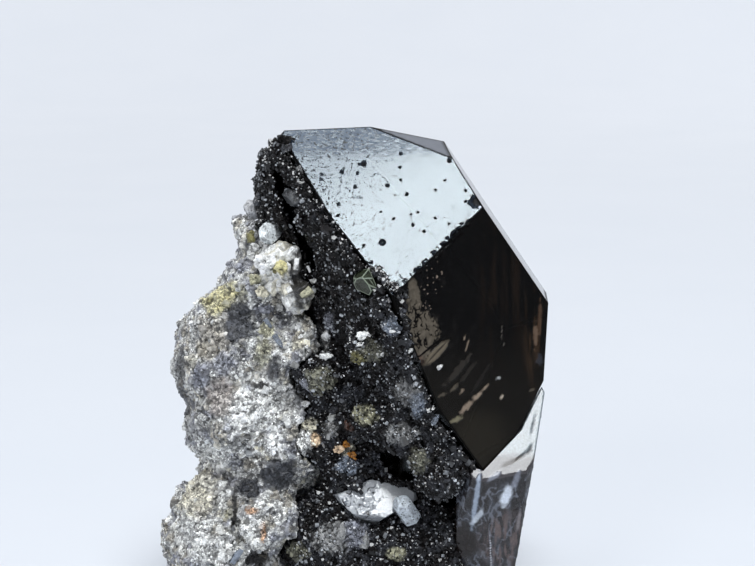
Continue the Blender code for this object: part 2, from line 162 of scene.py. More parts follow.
def toward(x: float, y: float, z: float) -> Vector:
    """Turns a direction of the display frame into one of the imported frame."""
    return (DISPLAY_TURN @ Vector((x, y, z))).normalized()


C_AXIS = toward(-0.543, 0.7615, 0.3539)


def crystal_turn(axis: Vector, front: Vector) -> Matrix:
    """The rotation of a crystal with its Z along an axis and its X toward a front face.

    Args:
        axis: the direction of the crystal's length.
        front: the way its X comes closest to.

    Returns:
        The rotation.
    """
    z = axis.normalized()
    x = (front - z * front.dot(z)).normalized()
    return Matrix((x, z.cross(x), z)).transposed()


MORION_TURN = crystal_turn(C_AXIS, Face.DARK.direction)


class Value:
    """One shader socket, which adds Math nodes when it stands in an expression."""

    def __init__(self, graph: "Graph", socket: bpy.types.NodeSocket) -> None:
        """Keeps the graph that new nodes go into, and the socket."""
        self.graph = graph
        self.socket = socket

    def _math(self, operation: str, *operands: Any) -> "Value":
        """Adds one Math node."""
        return self.graph.value("ShaderNodeMath", {"operation": operation}, dict(enumerate(operands)))

    def __add__(self, other: Any) -> "Value":
        """Adds."""
        return self._math("ADD", self, other)

    __radd__ = __add__

    def __sub__(self, other: Any) -> "Value":
        """Subtracts."""
        return self._math("SUBTRACT", self, other)

    def __rsub__(self, other: Any) -> "Value":
        """Subtracts this from a number."""
        return self._math("SUBTRACT", other, self)

    def __mul__(self, other: Any) -> "Value":
        """Multiplies."""
        return self._math("MULTIPLY", self, other)

    __rmul__ = __mul__

    def at_most(self, other: Any) -> "Value":
        """The lesser of the two."""
        return self._math("MINIMUM", self, other)

    def at_least(self, other: Any) -> "Value":
        """The greater of the two."""
        return self._math("MAXIMUM", self, other)

    def step(self, low: float, high: float) -> "Value":
        """A smooth step from 0 at low to 1 at high.

        Args:
            low: the value up to which it is 0.
            high: the value from which it is 1.

        Returns:
            The stepped value.
        """
        settings = {"interpolation_type": "SMOOTHSTEP"}
        inputs = {"Value": self, "From Min": low, "From Max": high}
        return self.graph.value("ShaderNodeMapRange", settings, inputs, "Result")


class Graph:
    """The node tree of one material, with its Object coordinates in millimetres."""

    def __init__(self, name: str) -> None:
        """Makes an empty material with an output.

        Args:
            name: the material's name.
        """
        self.material = bpy.data.materials.new(name)
        self.material.use_nodes = True
        self.tree = self.material.node_tree
        self.tree.nodes.clear()
        self.output = self.add("ShaderNodeOutputMaterial")
        object_place = self.add("ShaderNodeTexCoord").outputs["Object"]
        self.place = self.scaled(object_place, 1 / MM)

    def add(
        self,
        kind: str,
        settings: dict[str, Any] | None = None,
        inputs: dict[Any, Any] | None = None,
    ) -> bpy.types.Node:
        """Adds a node.

        Args:
            kind: the node's type.
            settings: attributes of the node, set first.
            inputs: a number, a colour, a socket or a Value for each named or numbered input.

        Returns:
            The new node.
        """
        node = self.tree.nodes.new(kind)
        for name, setting in (settings or {}).items():
            setattr(node, name, setting)
        for key, given in (inputs or {}).items():
            given = given.socket if isinstance(given, Value) else given
            if isinstance(given, bpy.types.NodeSocket):
                self.tree.links.new(given, node.inputs[key])
            else:
                node.inputs[key].default_value = given
        return node

    def value(
        self, kind: str, settings: dict[str, Any], inputs: dict[Any, Any], output: Any = 0
    ) -> Value:
        """Adds a node and wraps one of its outputs."""
        return Value(self, self.add(kind, settings, inputs).outputs[output])

    def scaled(self, vector: Any, factor: Any) -> bpy.types.NodeSocket:
        """Multiplies a vector or a colour by a number or a value."""
        inputs = {0: vector, "Scale": factor}
        return self.add("ShaderNodeVectorMath", {"operation": "SCALE"}, inputs).outputs[0]

    def bent(self, size: float, reach: float) -> bpy.types.NodeSocket:
        """Coordinates pushed about by noise of a size, by up to a reach in millimetres.

        Args:
            size: how wide the noise's patches are.
            reach: how far it pushes.

        Returns:
            The bent coordinates.
        """
        push = self.add("ShaderNodeTexNoise", {}, {"Vector": self.place, "Scale": 1 / size})
        moved = self.scaled(push.outputs["Color"], 2 * reach)
        return self.add("ShaderNodeVectorMath", {"operation": "ADD"}, {0: self.place, 1: moved}).outputs[0]

    def noise(self, size: float, detail: float = 3.0) -> Value:
        """Cloudy noise from 0 to 1, whose patches are about this many millimetres wide."""
        inputs = {"Vector": self.place, "Scale": 1 / size, "Detail": detail}
        return self.value("ShaderNodeTexNoise", {}, inputs, "Fac")

    def cells(self, size: float, where: Any, feature: str = "F1", output: str = "Distance") -> Value:
        """Distance to the nearest of scattered points, or to the cell walls, or a cell's own number."""
        inputs = {"Vector": where, "Scale": 1 / size}
        return self.value("ShaderNodeTexVoronoi", {"feature": feature}, inputs, output)

    def stored(self, name: str, output: str = "Fac") -> Value:
        """A number that is stored on the mesh."""
        return self.value("ShaderNodeAttribute", {"attribute_name": name}, {}, output)

    def bump(self, height: Value, millimetres: float) -> bpy.types.NodeSocket:
        """Turns a height from 0 to 1 into a normal, the height scaled to millimetres."""
        return self.add("ShaderNodeBump", {}, {"Height": height, "Distance": millimetres * MM}).outputs[0]

    def principled(self, inputs: dict[str, Any]) -> bpy.types.NodeSocket:
        """Adds the Principled shader of a quartz-like gloss with these inputs."""
        return self.add("ShaderNodeBsdfPrincipled", {}, {"IOR": QUARTZ_IOR, **inputs}).outputs[0]

    def blend(
        self, factor: Value, a: bpy.types.NodeSocket, b: bpy.types.NodeSocket
    ) -> bpy.types.NodeSocket:
        """Mixes two shaders."""
        return self.add("ShaderNodeMixShader", {}, {0: factor, 1: a, 2: b}).outputs[0]

    def finish(
        self, surface: bpy.types.NodeSocket, absorb: tuple[Colour, float] | None = None
    ) -> bpy.types.Material:
        """Links the surface, and an absorbing inside of a colour and a density per metre.

        Args:
            surface: the surface shader.
            absorb: the inside's colour and density, or None for a plain one.

        Returns:
            The finished material.
        """
        self.tree.links.new(surface, self.output.inputs["Surface"])
        if absorb:
            inputs = {"Color": (*absorb[0], 1.0), "Density": absorb[1]}
            inside = self.add("ShaderNodeVolumeAbsorption", {}, inputs).outputs[0]
            self.tree.links.new(inside, self.output.inputs["Volume"])
        return self.material


CLEAR = (1.0, 1.0, 1.0, 1.0)


@dataclass(frozen=True)
class QuartzFinish:
    """Quartz glass under a skin whose colour, cover and polish are stored on the mesh."""

    name: str
    absorb: tuple[Colour, float] | None = None
    skin_specular: float = 0.1
    skin_dull: float = 0.2
    mottle: float = 0.35
    relief: float = 0.004
    reflect: tuple[float, float, float, float] = CLEAR

    def material(self) -> bpy.types.Material:
        """Makes the material.

        Returns:
            The material, glassy where the stored cover is 0 and skinned where it is 1.
        """
        graph = Graph(self.name)
        tint, cover = graph.stored("tint", "Color").socket, graph.stored("tint", "Alpha")
        polish, grit = graph.stored("polish"), graph.stored("grit")
        fine = graph.noise(0.32, 3.0)
        speck = 1 - (graph.cells(0.5, graph.bent(1.0, 0.3)) - grit * 0.45).step(0.0, 0.06)
        normal = graph.bump(fine * (0.3 + grit * 1.2) - speck * 2.0, self.relief)
        rough = (polish + (fine - 0.5) * grit * 0.2).at_least(0.015)
        glass = graph.principled(
            {
                "Base Color": CLEAR,
                "Roughness": rough,
                "Transmission Weight": 1.0,
                "Specular Tint": self.reflect,
                "Normal": normal,
            }
        )
        shade = (1 + (fine - 0.5) * (3 * self.mottle)).at_least(0.2) * (1 - speck * 0.85)
        skin = graph.principled(
            {
                "Base Color": graph.scaled(tint, shade),
                "Roughness": rough + self.skin_dull,
                "Specular IOR Level": self.skin_specular,
                "Normal": normal,
            }
        )
        factor = (cover + (fine - 0.5) * grit * 0.35).at_least(speck * 0.9).at_most(1.0).at_least(0.0)
        return graph.finish(graph.blend(factor, glass, skin), self.absorb)


@dataclass(frozen=True)
class GrainFinish:
    """Mineral grains whose colour is stored on the mesh, broken up into finer grains, with painted shade
    darkening the walls between them.
    """

    name: str
    roughness: float
    uneven: float = 0.3
    cell: float = 0.7
    contrast: float = 0.6
    # How strongly the painted shade darkens the walls between grains.
    gap_shade: float = 0.6
    mottle: float = 0.35
    relief: float = 0.06
    specular: float = 0.5

    def material(self) -> bpy.types.Material:
        """Makes the material.

        Returns:
            An opaque mineral surface.
        """
        graph = Graph(self.name)
        fine = graph.noise(0.25, 4.0)
        where = graph.bent(self.cell * 0.8, self.cell * 0.45)
        own = graph.cells(self.cell, where, output="Color")
        wall = graph.cells(self.cell, where, "DISTANCE_TO_EDGE").step(0.0, 0.16)
        sparse = graph.noise(2.4, 2.0).step(0.35, 0.6)
        shade = (1 + (own - 0.5) * (3.2 * self.contrast)).at_least(0.08)
        # Painted shade: the walls between grains are darkened, in patches.
        shade = shade * (1 - (1 - wall) * sparse * self.gap_shade)
        shade = shade * (1 + (fine - 0.5) * (3 * self.mottle)).at_least(0.2)
        surface = graph.principled(
            {
                "Base Color": graph.scaled(graph.stored("tint", "Color").socket, shade),
                "Roughness": (self.roughness + (own - 0.5) * self.uneven).at_least(0.04),
                "Specular IOR Level": self.specular,
                "Normal": graph.bump(fine * 0.5 + wall * 0.6 + own * 0.8, self.relief),
            }
        )
        return graph.finish(surface)


def new_object(name: str, mesh: bpy.types.Mesh) -> bpy.types.Object:
    """Links a new object that holds a mesh.

    Args:
        name: the object's name.
        mesh: its mesh.

    Returns:
        The object.
    """
    obj = bpy.data.objects.new(name, mesh)
    bpy.context.scene.collection.objects.link(obj)
    return obj


def object_from(name: str, bm: bmesh.types.BMesh) -> bpy.types.Object:
    """Turns a bmesh into a linked object and frees it.

    Args:
        name: the name of the object and its mesh.
        bm: the shape, in metres.

    Returns:
        The object.
    """
    mesh = bpy.data.meshes.new(name)
    bm.to_mesh(mesh)
    bm.free()
    return new_object(name, mesh)


def node_shape(node: str) -> bmesh.types.BMesh:
    """A merged copy of a CAD node's mesh, with its flat faces whole.

    Args:
        node: the CAD node's name.

    Returns:
        The copy, in metres.
    """
    bm = bmesh.new()
    bm.from_mesh(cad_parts[node].data)
    bmesh.ops.remove_doubles(bm, verts=bm.verts[:], dist=0.002 * MM)
    bmesh.ops.dissolve_limit(
        bm, angle_limit=math.radians(0.5), verts=bm.verts[:], edges=bm.edges[:]
    )
    return bm


def real_edges(bm: bmesh.types.BMesh) -> list[bmesh.types.BMEdge]:
    """The edges at which a shape's faces turn."""
    return [e for e in bm.edges if e.calc_face_angle(math.pi) > math.radians(3)]


def soften_edges(bm: bmesh.types.BMesh, width: float, segments: int = 2) -> None:
    """Rounds the edges of a shape by a width in its own units.

    Args:
        bm: the shape.
        width: how wide each rounding is.
        segments: how many faces go across it.
    """
    bmesh.ops.bevel(
        bm,
        geom=real_edges(bm),
        offset=width,
        offset_type="OFFSET",
        segments=segments,
        profile=0.5,
        affect="EDGES",
        material=-1,
        clamp_overlap=True,
    )


def refine(bm: bmesh.types.BMesh, longest: Callable[[np.ndarray], Any], rounds: int = 10) -> None:
    """Splits edges in half until each is as short as its place asks for.

    Args:
        bm: the shape.
        longest: gives the longest edges in millimetres for points of the display frame.
        rounds: how often the edges are gone through at most.
    """
    bmesh.ops.triangulate(bm, faces=bm.faces[:])
    for _ in range(rounds):
        edges = bm.edges[:]
        ends = np.array([(*e.verts[0].co, *e.verts[1].co) for e in edges])
        middles = all_shown((ends[:, :3] + ends[:, 3:]) / 2)
        too_long = np.linalg.norm(ends[:, :3] - ends[:, 3:], axis=1) / MM > longest(middles)
        if not too_long.any():
            return
        long = [edge for edge, split in zip(edges, too_long) if split]
        bmesh.ops.subdivide_edges(bm, edges=long, cuts=1)
        bmesh.ops.triangulate(bm, faces=[f for f in bm.faces if len(f.verts) > 3])


def voxel_remeshed(obj: bpy.types.Object, voxel: float, smoothing: int) -> None:
    """Gives a closed mesh even faces of a size in millimetres, and smooths it a little.

    Args:
        obj: the mesh object.
        voxel: the size of the faces.
        smoothing: how many times the mesh is smoothed.
    """
    even = obj.modifiers.new("even", "REMESH")
    even.mode = "VOXEL"
    even.voxel_size = voxel * MM
    soften = obj.modifiers.new("soften", "SMOOTH")
    soften.factor = 0.5
    soften.iterations = smoothing
    bpy.context.view_layer.update()
    graph = bpy.context.evaluated_depsgraph_get()
    mesh = bpy.data.meshes.new_from_object(obj.evaluated_get(graph))
    obj.modifiers.clear()
    obj.data = mesh


def mesh_arrays(mesh: bpy.types.Mesh) -> tuple[np.ndarray, np.ndarray]:
    """The mesh's places and normals.

    Args:
        mesh: the mesh.

    Returns:
        The places and the normals, one vertex a row.
    """
    count = len(mesh.vertices)
    places, normals = np.empty(count * 3), np.empty(count * 3)
    mesh.vertices.foreach_get("co", places)
    mesh.vertex_normals.foreach_get("vector", normals)
    return places.reshape(-1, 3), normals.reshape(-1, 3)


def set_places(mesh: bpy.types.Mesh, places: np.ndarray) -> None:
    """Writes places back to a mesh, kept inside the CAD box.

    Args:
        mesh: the mesh.
        places: one place a row, in metres.
    """
    low, high = (np.array(corner) for corner in CAD_BOX)
    mesh.vertices.foreach_set("co", np.clip(places, low, high).astype(np.float32).ravel())
    mesh.update()


def store(mesh: bpy.types.Mesh, name: str, numbers: np.ndarray) -> None:
    """Stores one number for each vertex."""
    layer = mesh.attributes.new(name, "FLOAT", "POINT")
    layer.data.foreach_set("value", numbers.astype(np.float32))


def paint(mesh: bpy.types.Mesh, colours: np.ndarray, cover: Any = 1.0) -> None:
    """Stores one colour and one cover for each vertex, in the attribute that the finishes read.

    Args:
        mesh: the mesh.
        colours: one colour a row.
        cover: one cover for all, or one for each vertex.
    """
    rgba = np.ones((len(colours), 4), np.float32)
    rgba[:, :3] = np.clip(colours, 0.0, 1.0)
    rgba[:, 3] = np.clip(cover, 0.0, 1.0)
    layer = mesh.color_attributes.new("tint", "FLOAT_COLOR", "POINT")
    layer.data.foreach_set("color", rgba.ravel())


def cloud(points: np.ndarray, size: Any, shift: float = 0.0, octaves: int = 3) -> np.ndarray:
    """Cloudy noise of about -1 to 1 at points in millimetres, its patches this wide."""
    offset = Vector((shift, -1.7 * shift, 2.3 * shift))
    return np.array([noise.fractal(Vector(p) + offset, 0.8, 2.1, octaves) for p in points / size])


CRACK_SHARE = 0.12
CRACK_DEPTH = 0.25


def facets(points: np.ndarray, size: float, shift: float = 0.0) -> np.ndarray:
    """Heights of broken facets: in each cell of this size a plane that leans at random.

    Args:
        points: points in millimetres.
        size: how wide the cells are.
        shift: moves the pattern.

    Returns:
        The heights, of about -1 to 1.
    """
    offset = Vector((shift, shift, shift))
    heights = np.empty(len(points))
    for k, point in enumerate(points):
        spot = Vector(point) / size + offset
        distances, centres = noise.voronoi(spot)
        lean = noise.cell_vector(centres[0] * 17.3) - Vector((0.5, 0.5, 0.5))
        crack = distances[1] - distances[0] < CRACK_SHARE
        heights[k] = (spot - centres[0]).dot(lean) * 2 + lean.x - CRACK_DEPTH * crack
    return heights


def smooth_step(low: float, high: float, values: np.ndarray) -> np.ndarray:
    """A smooth step from 0 at low to 1 at high, for arrays."""
    t = np.clip((values - low) / (high - low), 0, 1)
    return t * t * (3 - 2 * t)


def worms(points: np.ndarray, size: float, width: float, shift: float = 0.0) -> np.ndarray:
    """A mask of 1 along winding lines, whose bends and width are shares of a size."""
    return 1 - smooth_step(width, 2 * width, np.abs(cloud(points, size, shift, 2)))


def oval(
    seen: np.ndarray,
    x: float,
    y: float,
    rx: float,
    ry: float,
    lean: float = 0.0,
    fray: Any = 0.0,
    soft: float = 0.25,
) -> np.ndarray:
    """A mask of 1 over an oval as the viewer sees it.

    Args:
        seen: where the points are seen.
        x: the oval's middle as seen.
        y: the same, upward.
        rx: its half length in millimetres.
        ry: its half width.
        lean: its turn in degrees from the horizontal.
        fray: is added to each point's distance, as a share of the oval.
        soft: the share of the size over which it fades.

    Returns:
        The mask, from 0 to 1.
    """
    turn = math.radians(lean)
    dx, dy = seen[:, 0] - x, seen[:, 1] - y
    along = (dx * math.cos(turn) + dy * math.sin(turn)) / rx
    across = (dy * math.cos(turn) - dx * math.sin(turn)) / ry
    return 1 - smooth_step(1 - soft, 1 + soft, np.hypot(along, across) + fray)


def span_distance(points: np.ndarray, spans: Iterable[np.ndarray]) -> np.ndarray:
    """How far points lie from the nearest of some straight spans.

    Args:
        points: the points, one a row.
        spans: the two ends of each span.

    Returns:
        One distance for each point.
    """
    nearest = np.full(len(points), 1e9)
    for a, b in spans:
        t = np.clip((points - a) @ (b - a) / ((b - a) @ (b - a)), 0, 1)
        nearest = np.minimum(nearest, np.linalg.norm(points - a - t[:, None] * (b - a), axis=1))
    return nearest


def route_distance(seen: np.ndarray, route: Sequence[tuple[float, float]]) -> np.ndarray:
    """How far points as seen lie from a line through a few corners."""
    corners = np.array(route)
    return span_distance(seen, zip(corners, corners[1:]))


def tree_of(objects: Sequence[bpy.types.Object]) -> BVHTree:
    """One search tree over the faces of several objects.

    Args:
        objects: the objects.

    Returns:
        The tree, in metres.
    """
    bm = bmesh.new()
    for obj in objects:
        bm.from_mesh(obj.data)
    tree = BVHTree.FromBMesh(bm)
    bm.free()
    return tree


def sighted(tree: BVHTree, x: float, y: float) -> Vector:
    """Finds what the viewer sees at x and y.

    Args:
        tree: the surfaces.
        x: the sight line's place in the plane z = 0 of the display frame.
        y: the same, upward.

    Returns:
        The surface's point in the display frame, or the point in the plane where there is none.
    """
    eye = display(0, 0, VIEW_DISTANCE)
    hit = tree.ray_cast(eye, (display(x, y, 0) - eye).normalized(), 1.0)[0]
    return Vector((x, y, 0.0)) if hit is None else shown(hit)


class Painting:
    """Colour, cover, polish, grit and height at points of a surface, laid on in strokes."""

    def __init__(self, points: np.ndarray, colour: Colour, cover: float, polish: float) -> None:
        """Starts with one colour, cover and polish all over.

        Args:
            points: points of the display frame.
            colour: the skin's colour.
            cover: how far the skin hides the glass.
            polish: the roughness of the surface.
        """
        self.points = points
        self.seen = all_seen(points)
        self.colour = np.tile(np.array(colour, float), (len(points), 1))
        self.cover = np.full(len(points), float(cover))
        self.polish = np.full(len(points), float(polish))
        self.grit = np.zeros(len(points))
        self.height = np.zeros(len(points))

    def lay(
        self,
        mask: np.ndarray,
        colour: Colour | None = None,
        cover: float | None = None,
        polish: float | None = None,
        height: float = 0.0,
    ) -> None:
        """Lays one stroke over what is there.

        Args:
            mask: how strongly it takes at each point, from 0 to 1.
            colour: the skin's colour.
            cover: how far the skin hides the glass.
            polish: the roughness of the surface.
            height: how far the stroke stands out, in millimetres.
        """
        if colour is not None:
            self.colour += (np.array(colour) - self.colour) * mask[:, None]
        if cover is not None:
            self.cover += (cover - self.cover) * mask
        if polish is not None:
            self.polish += (polish - self.polish) * mask
        self.height += height * mask

    def merge(self, on: np.ndarray, other: "Painting") -> None:
        """Takes over another painting at the points that it was made for."""
        for name in ("colour", "cover", "polish", "grit", "height"):
            getattr(self, name)[on] = getattr(other, name)

    def onto(self, mesh: bpy.types.Mesh) -> None:
        """Stores the painting on a mesh.

        Args:
            mesh: a mesh with one vertex for each point.
        """
        paint(mesh, self.colour, self.cover)
        store(mesh, "polish", self.polish)
        store(mesh, "grit", self.grit)


@dataclass(frozen=True)
class Patch:
    """An oval patch of one mineral on a surface, where the viewer sees it, in millimetres."""

    mineral: Mineral
    x: float
    y: float
    rx: float
    ry: float
    strength: float = 0.9
    rise: float = 0.0

    def share(self, points: np.ndarray, tree: BVHTree, fray: np.ndarray, core: float) -> np.ndarray:
        """How much of the patch there is at each point.

        Args:
            points: points of the display frame.
            tree: the surface that the patch lies on.
            fray: is added to each point's distance, as a share of the patch.
            core: the share of the patch out to which it is whole.

        Returns:
            A mask, from 0 to 1.
        """
        middle = np.array(sighted(tree, self.x, self.y))
        away = (points - middle) / (self.rx, self.ry, 1.4 * max(self.rx, self.ry))
        return 1 - smooth_step(core, 1.15, np.linalg.norm(away, axis=1) + fray)


@dataclass
class Colouring:
    """Colours a surface: minerals mixed by noise, and patches over them."""

    minerals: tuple[Mineral, ...]
    patches: tuple[Patch, ...]
    size: float = 3.0
    fray: float = 0.35
    share: float = 0.8
    seed: float = 0.0

    def at(self, places: np.ndarray, tree: BVHTree) -> np.ndarray:
        """The colour at each place.

        Args:
            places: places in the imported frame.
            tree: the surface that the patches lie on.

        Returns:
            One colour a row.
        """
        points = all_shown(places)
        colours = np.tile(self.minerals[0].colour, (len(points), 1))
        for k, mineral in enumerate(self.minerals[1:], 1):
            clouds = cloud(points, self.size * (0.6 + 0.3 * (k % 3)), self.seed + 7.1 * k)
            share = smooth_step(0.0, 0.25, clouds) * self.share
            colours += (np.array(mineral.colour) - colours) * share[:, None]
        fray = cloud(points, 1.3, self.seed + 3.3) * self.fray
        for patch in self.patches:
            share = patch.share(points, tree, fray, 0.7) * patch.strength
            colours += (np.array(patch.mineral.colour) - colours) * share[:, None]
        return colours

    def swell(self, points: np.ndarray, tree: BVHTree) -> np.ndarray:
        """How far the patches stand out at points of the display frame.

        Args:
            points: points of the display frame.
            tree: the surface that the patches lie on.

        Returns:
            One height in millimetres for each point.
        """
        fray = cloud(points, 1.3, self.seed + 3.3) * self.fray
        heights = np.zeros(len(points))
        for patch in self.patches:
            if patch.rise:
                heights = np.maximum(heights, patch.rise * patch.share(points, tree, fray, 0.2))
        return heights


def cut_by_planes(bm: bmesh.types.BMesh, cuts: Sequence[tuple[Vector, float]]) -> None:
    """Trims a convex shape by planes, each a normal and a distance, and closes each cut.

    Args:
        bm: the shape.
        cuts: the planes, each with its outside on the normal's side.
    """
    for normal, offset in cuts:
        cut = bmesh.ops.bisect_plane(
            bm,
            geom=bm.verts[:] + bm.edges[:] + bm.faces[:],
            plane_co=normal * offset,
            plane_no=normal,
            clear_outer=True,
        )
        rim = [e for e in cut["geom_cut"] if isinstance(e, bmesh.types.BMEdge)]
        if rim:
            bmesh.ops.edgenet_fill(bm, edges=rim)
    bmesh.ops.recalc_face_normals(bm, faces=bm.faces[:])


def quartz_point(radius: float, length: float, uneven: float, squash: float = 1.0) -> bmesh.types.BMesh:
    """One quartz crystal around its own middle, its axis along Z, in millimetres.

    Args:
        radius: distance of the prism faces from the axis.
        length: from the root to about the tip.
        uneven: how much further out every second rhombohedral face stands.
        squash: flattens the crystal across one pair of faces.

    Returns:
        A closed shape.
    """
    bm = bmesh.new()
    bmesh.ops.create_cube(bm, size=4 * length)
    cuts = [(Vector((0, 0, -1)), length / 2)]
    for k in range(6):
        turn = math.radians(60 * k)
        flat = Vector((math.cos(turn), math.sin(turn), 0))
        slanted = flat * math.sin(RHOMB_TILT) + Vector((0, 0, math.cos(RHOMB_TILT)))
        cuts.append((flat, radius * (squash if k % 3 == 0 else 1.0)))
        reach = length / 2 * math.cos(RHOMB_TILT) + (uneven * radius if k % 2 else 0.0)
        cuts.append((slanted, reach))
    cut_by_planes(bm, cuts)
    return bm


def grain(rng: np.random.Generator, cuts: int) -> bmesh.types.BMesh:
    """One angular grain, about 2 across, a cube trimmed by planes at random.

    Args:
        rng: draws the planes.
        cuts: how many planes.

    Returns:
        A closed shape.
    """
    bm = bmesh.new()
    bmesh.ops.create_cube(bm, size=2.0)
    planes = []
    for _ in range(cuts):
        normal = Vector(rng.normal(size=3)).normalized()
        planes.append((normal, float(rng.uniform(0.72, 1.0))))
    cut_by_planes(bm, planes)
    return bm


def shape_arrays(bm: bmesh.types.BMesh) -> tuple[np.ndarray, np.ndarray]:
    """The places and triangles of a small shape, which is freed.

    Args:
        bm: the shape.

    Returns:
        The places, and the three corners of each triangle.
    """
    bmesh.ops.triangulate(bm, faces=bm.faces[:])
    bm.verts.index_update()
    verts = np.array([v.co for v in bm.verts])
    faces = np.array([[v.index for v in f.verts] for f in bm.faces])
    bm.free()
    return verts, faces


@dataclass
class Joined:
    """Many small closed shapes joined into one mesh, with their colours and covers."""

    name: str
    verts: list[np.ndarray] = field(default_factory=list)
    faces: list[np.ndarray] = field(default_factory=list)
    tints: list[np.ndarray] = field(default_factory=list)
    count: int = 0

    def add(self, verts: np.ndarray, faces: np.ndarray, tint: np.ndarray) -> None:
        """Adds one shape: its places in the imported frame, triangles, and a tint with its cover.

        Args:
            verts: the shape's places, in metres.
            faces: the three corners of each triangle.
            tint: a colour and a cover, for all or for each place.
        """
        self.verts.append(verts)
        self.faces.append(faces + self.count)
        self.tints.append(np.broadcast_to(tint, (len(verts), 4)))
        self.count += len(verts)

    def piece(self, polish: float, grit: float, smooth: bool = False) -> bpy.types.Object:
        """Makes the object.

        Args:
            polish: the roughness of all shapes.
            grit: how strongly fine grain shows on them.
            smooth: whether gentle bends are shaded smooth.

        Returns:
            The joined piece, without a material.
        """
        mesh = bpy.data.meshes.new(self.name)
        places = np.concatenate(self.verts)
        mesh.from_pydata(places, [], np.concatenate(self.faces).tolist())
        set_places(mesh, places)
        tints = np.concatenate(self.tints)
        paint(mesh, tints[:, :3], tints[:, 3])
        store(mesh, "polish", np.full(len(places), polish))
        store(mesh, "grit", np.full(len(places), grit))
        if smooth:
            mesh.shade_smooth()
            mesh.set_sharp_from_angle(angle=math.radians(32))
        else:
            mesh.shade_flat()
        return new_object(self.name, mesh)


@dataclass
class Surface:
    """The outside of an object, to draw places on it from."""

    piece: bpy.types.Object

    def __post_init__(self) -> None:
        """Collects the triangles."""
        mesh = self.piece.data
        mesh.calc_loop_triangles()
        index = np.empty(len(mesh.loop_triangles) * 3, np.int32)
        mesh.loop_triangles.foreach_get("vertices", index)
        self.corners = mesh_arrays(mesh)[0][index.reshape(-1, 3)]
        sides = self.corners[:, 1:] - self.corners[:, :1]
        cross = np.cross(sides[:, 0], sides[:, 1])
        length = np.linalg.norm(cross, axis=1)
        self.normals = cross / np.maximum(length, 1e-20)[:, None]
        self.shares = length / length.sum()

    def draw(self, count: int, rng: np.random.Generator) -> list[tuple[Vector, Vector]]:
        """Draws this many places, evenly by area, each with its face's normal.

        Args:
            count: how many places.
            rng: draws them.

        Returns:
            The places and normals.
        """
        faces = rng.choice(len(self.shares), size=count, p=self.shares)
        a, b = rng.random(count), rng.random(count)
        flip = a + b > 1
        a[flip], b[flip] = 1 - a[flip], 1 - b[flip]
        tri = self.corners[faces]
        along = a[:, None] * (tri[:, 1] - tri[:, 0]) + b[:, None] * (tri[:, 2] - tri[:, 0])
        return [(Vector(p), Vector(n)) for p, n in zip(tri[:, 0] + along, self.normals[faces])]


# Painted glint: the bluish white that grains are mixed toward, in place of small facets catching the light.
PAINTED_GLINT = (0.64, 0.67, 0.71)


@dataclass
class Scatter:
    """Many copies of a few small shapes, set on a surface."""

    templates: list[bmesh.types.BMesh]
    turns: list[np.ndarray] = field(default_factory=list)
    places: list[np.ndarray] = field(default_factory=list)
    shades: list[tuple[float, float]] = field(default_factory=list)

    def put(
        self, place: Vector, turn: Matrix, size: Sequence[float], shade: float = 1.0, pale: float = 0.0
    ) -> None:
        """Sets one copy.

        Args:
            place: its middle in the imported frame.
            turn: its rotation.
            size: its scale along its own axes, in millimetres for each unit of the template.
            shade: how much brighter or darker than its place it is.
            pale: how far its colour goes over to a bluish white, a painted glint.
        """
        self.turns.append(np.array(turn) * np.array(size)[None, :] * MM)
        self.places.append(np.array(place))
        self.shades.append((shade, pale))

    def joined(self, name: str, colouring: Colouring, tree: BVHTree) -> Joined:
        """Joins all copies, each coloured by its place.

        Args:
            name: the piece's name.
            colouring: gives each place its colour.
            tree: the surface that the colouring's patches lie on.

        Returns:
            The joined mesh.
        """
        shapes = [shape_arrays(bm) for bm in self.templates]
        shade, pale = np.array(self.shades).T[:, :, None]
        # Painted glint: each copy's colour, shaded, goes over to a bluish white by its paleness.
        colours = colouring.at(np.array(self.places), tree) * shade * (1 - pale) + np.array(PAINTED_GLINT) * pale
        everything = Joined(name)
        for k, (turn, place) in enumerate(zip(self.turns, self.places)):
            verts, faces = shapes[k % len(shapes)]
            everything.add(verts @ turn.T + place, faces, np.append(colours[k], 1.0))
        return everything


def open_to_air(place: Vector, normal: Vector, others: BVHTree, reach: float = 2.5) -> bool:
    """Whether nothing else lies close in front of a place, within a reach in millimetres."""
    start = place - normal * 0.6 * MM
    return others.ray_cast(start, normal, (reach + 0.6) * MM)[0] is None


def open_places(
    piece: bpy.types.Object, others: BVHTree, count: int, draws: int, rng: np.random.Generator
) -> Iterator[tuple[Vector, Vector]]:
    """Draws places on a piece, and leaves out those that something else lies close in front of.

    Args:
        piece: the piece.
        others: what must not lie in front.
        count: how many places are wanted.
        draws: how many are drawn at most.
        rng: draws them.

    Yields:
        A place and its face's normal.
    """
    taken = 0
    for place, normal in Surface(piece).draw(draws, rng):
        if taken == count:
            return
        if open_to_air(place, normal, others):
            taken += 1
            yield place, normal


def dress(obj: bpy.types.Object, material: bpy.types.Material, slot: str, *nodes: str) -> bpy.types.Object:
    """Gives a piece its material and body, and hides the CAD nodes that it stands for.

    Args:
        obj: the piece.
        material: its material.
        slot: not used.
        *nodes: the CAD nodes.

    Returns:
        The piece.
    """
    obj.data.materials.clear()
    obj.data.materials.append(material)
    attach(obj, BODY)
    if nodes:
        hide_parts(*nodes)
    log.info("%s: %d faces", obj.name, len(obj.data.polygons))
    return obj


class Form(Enum):
    """The shapes of the larger grains."""

    LUMP = 1
    BLOCK = 2
    POINT = 3


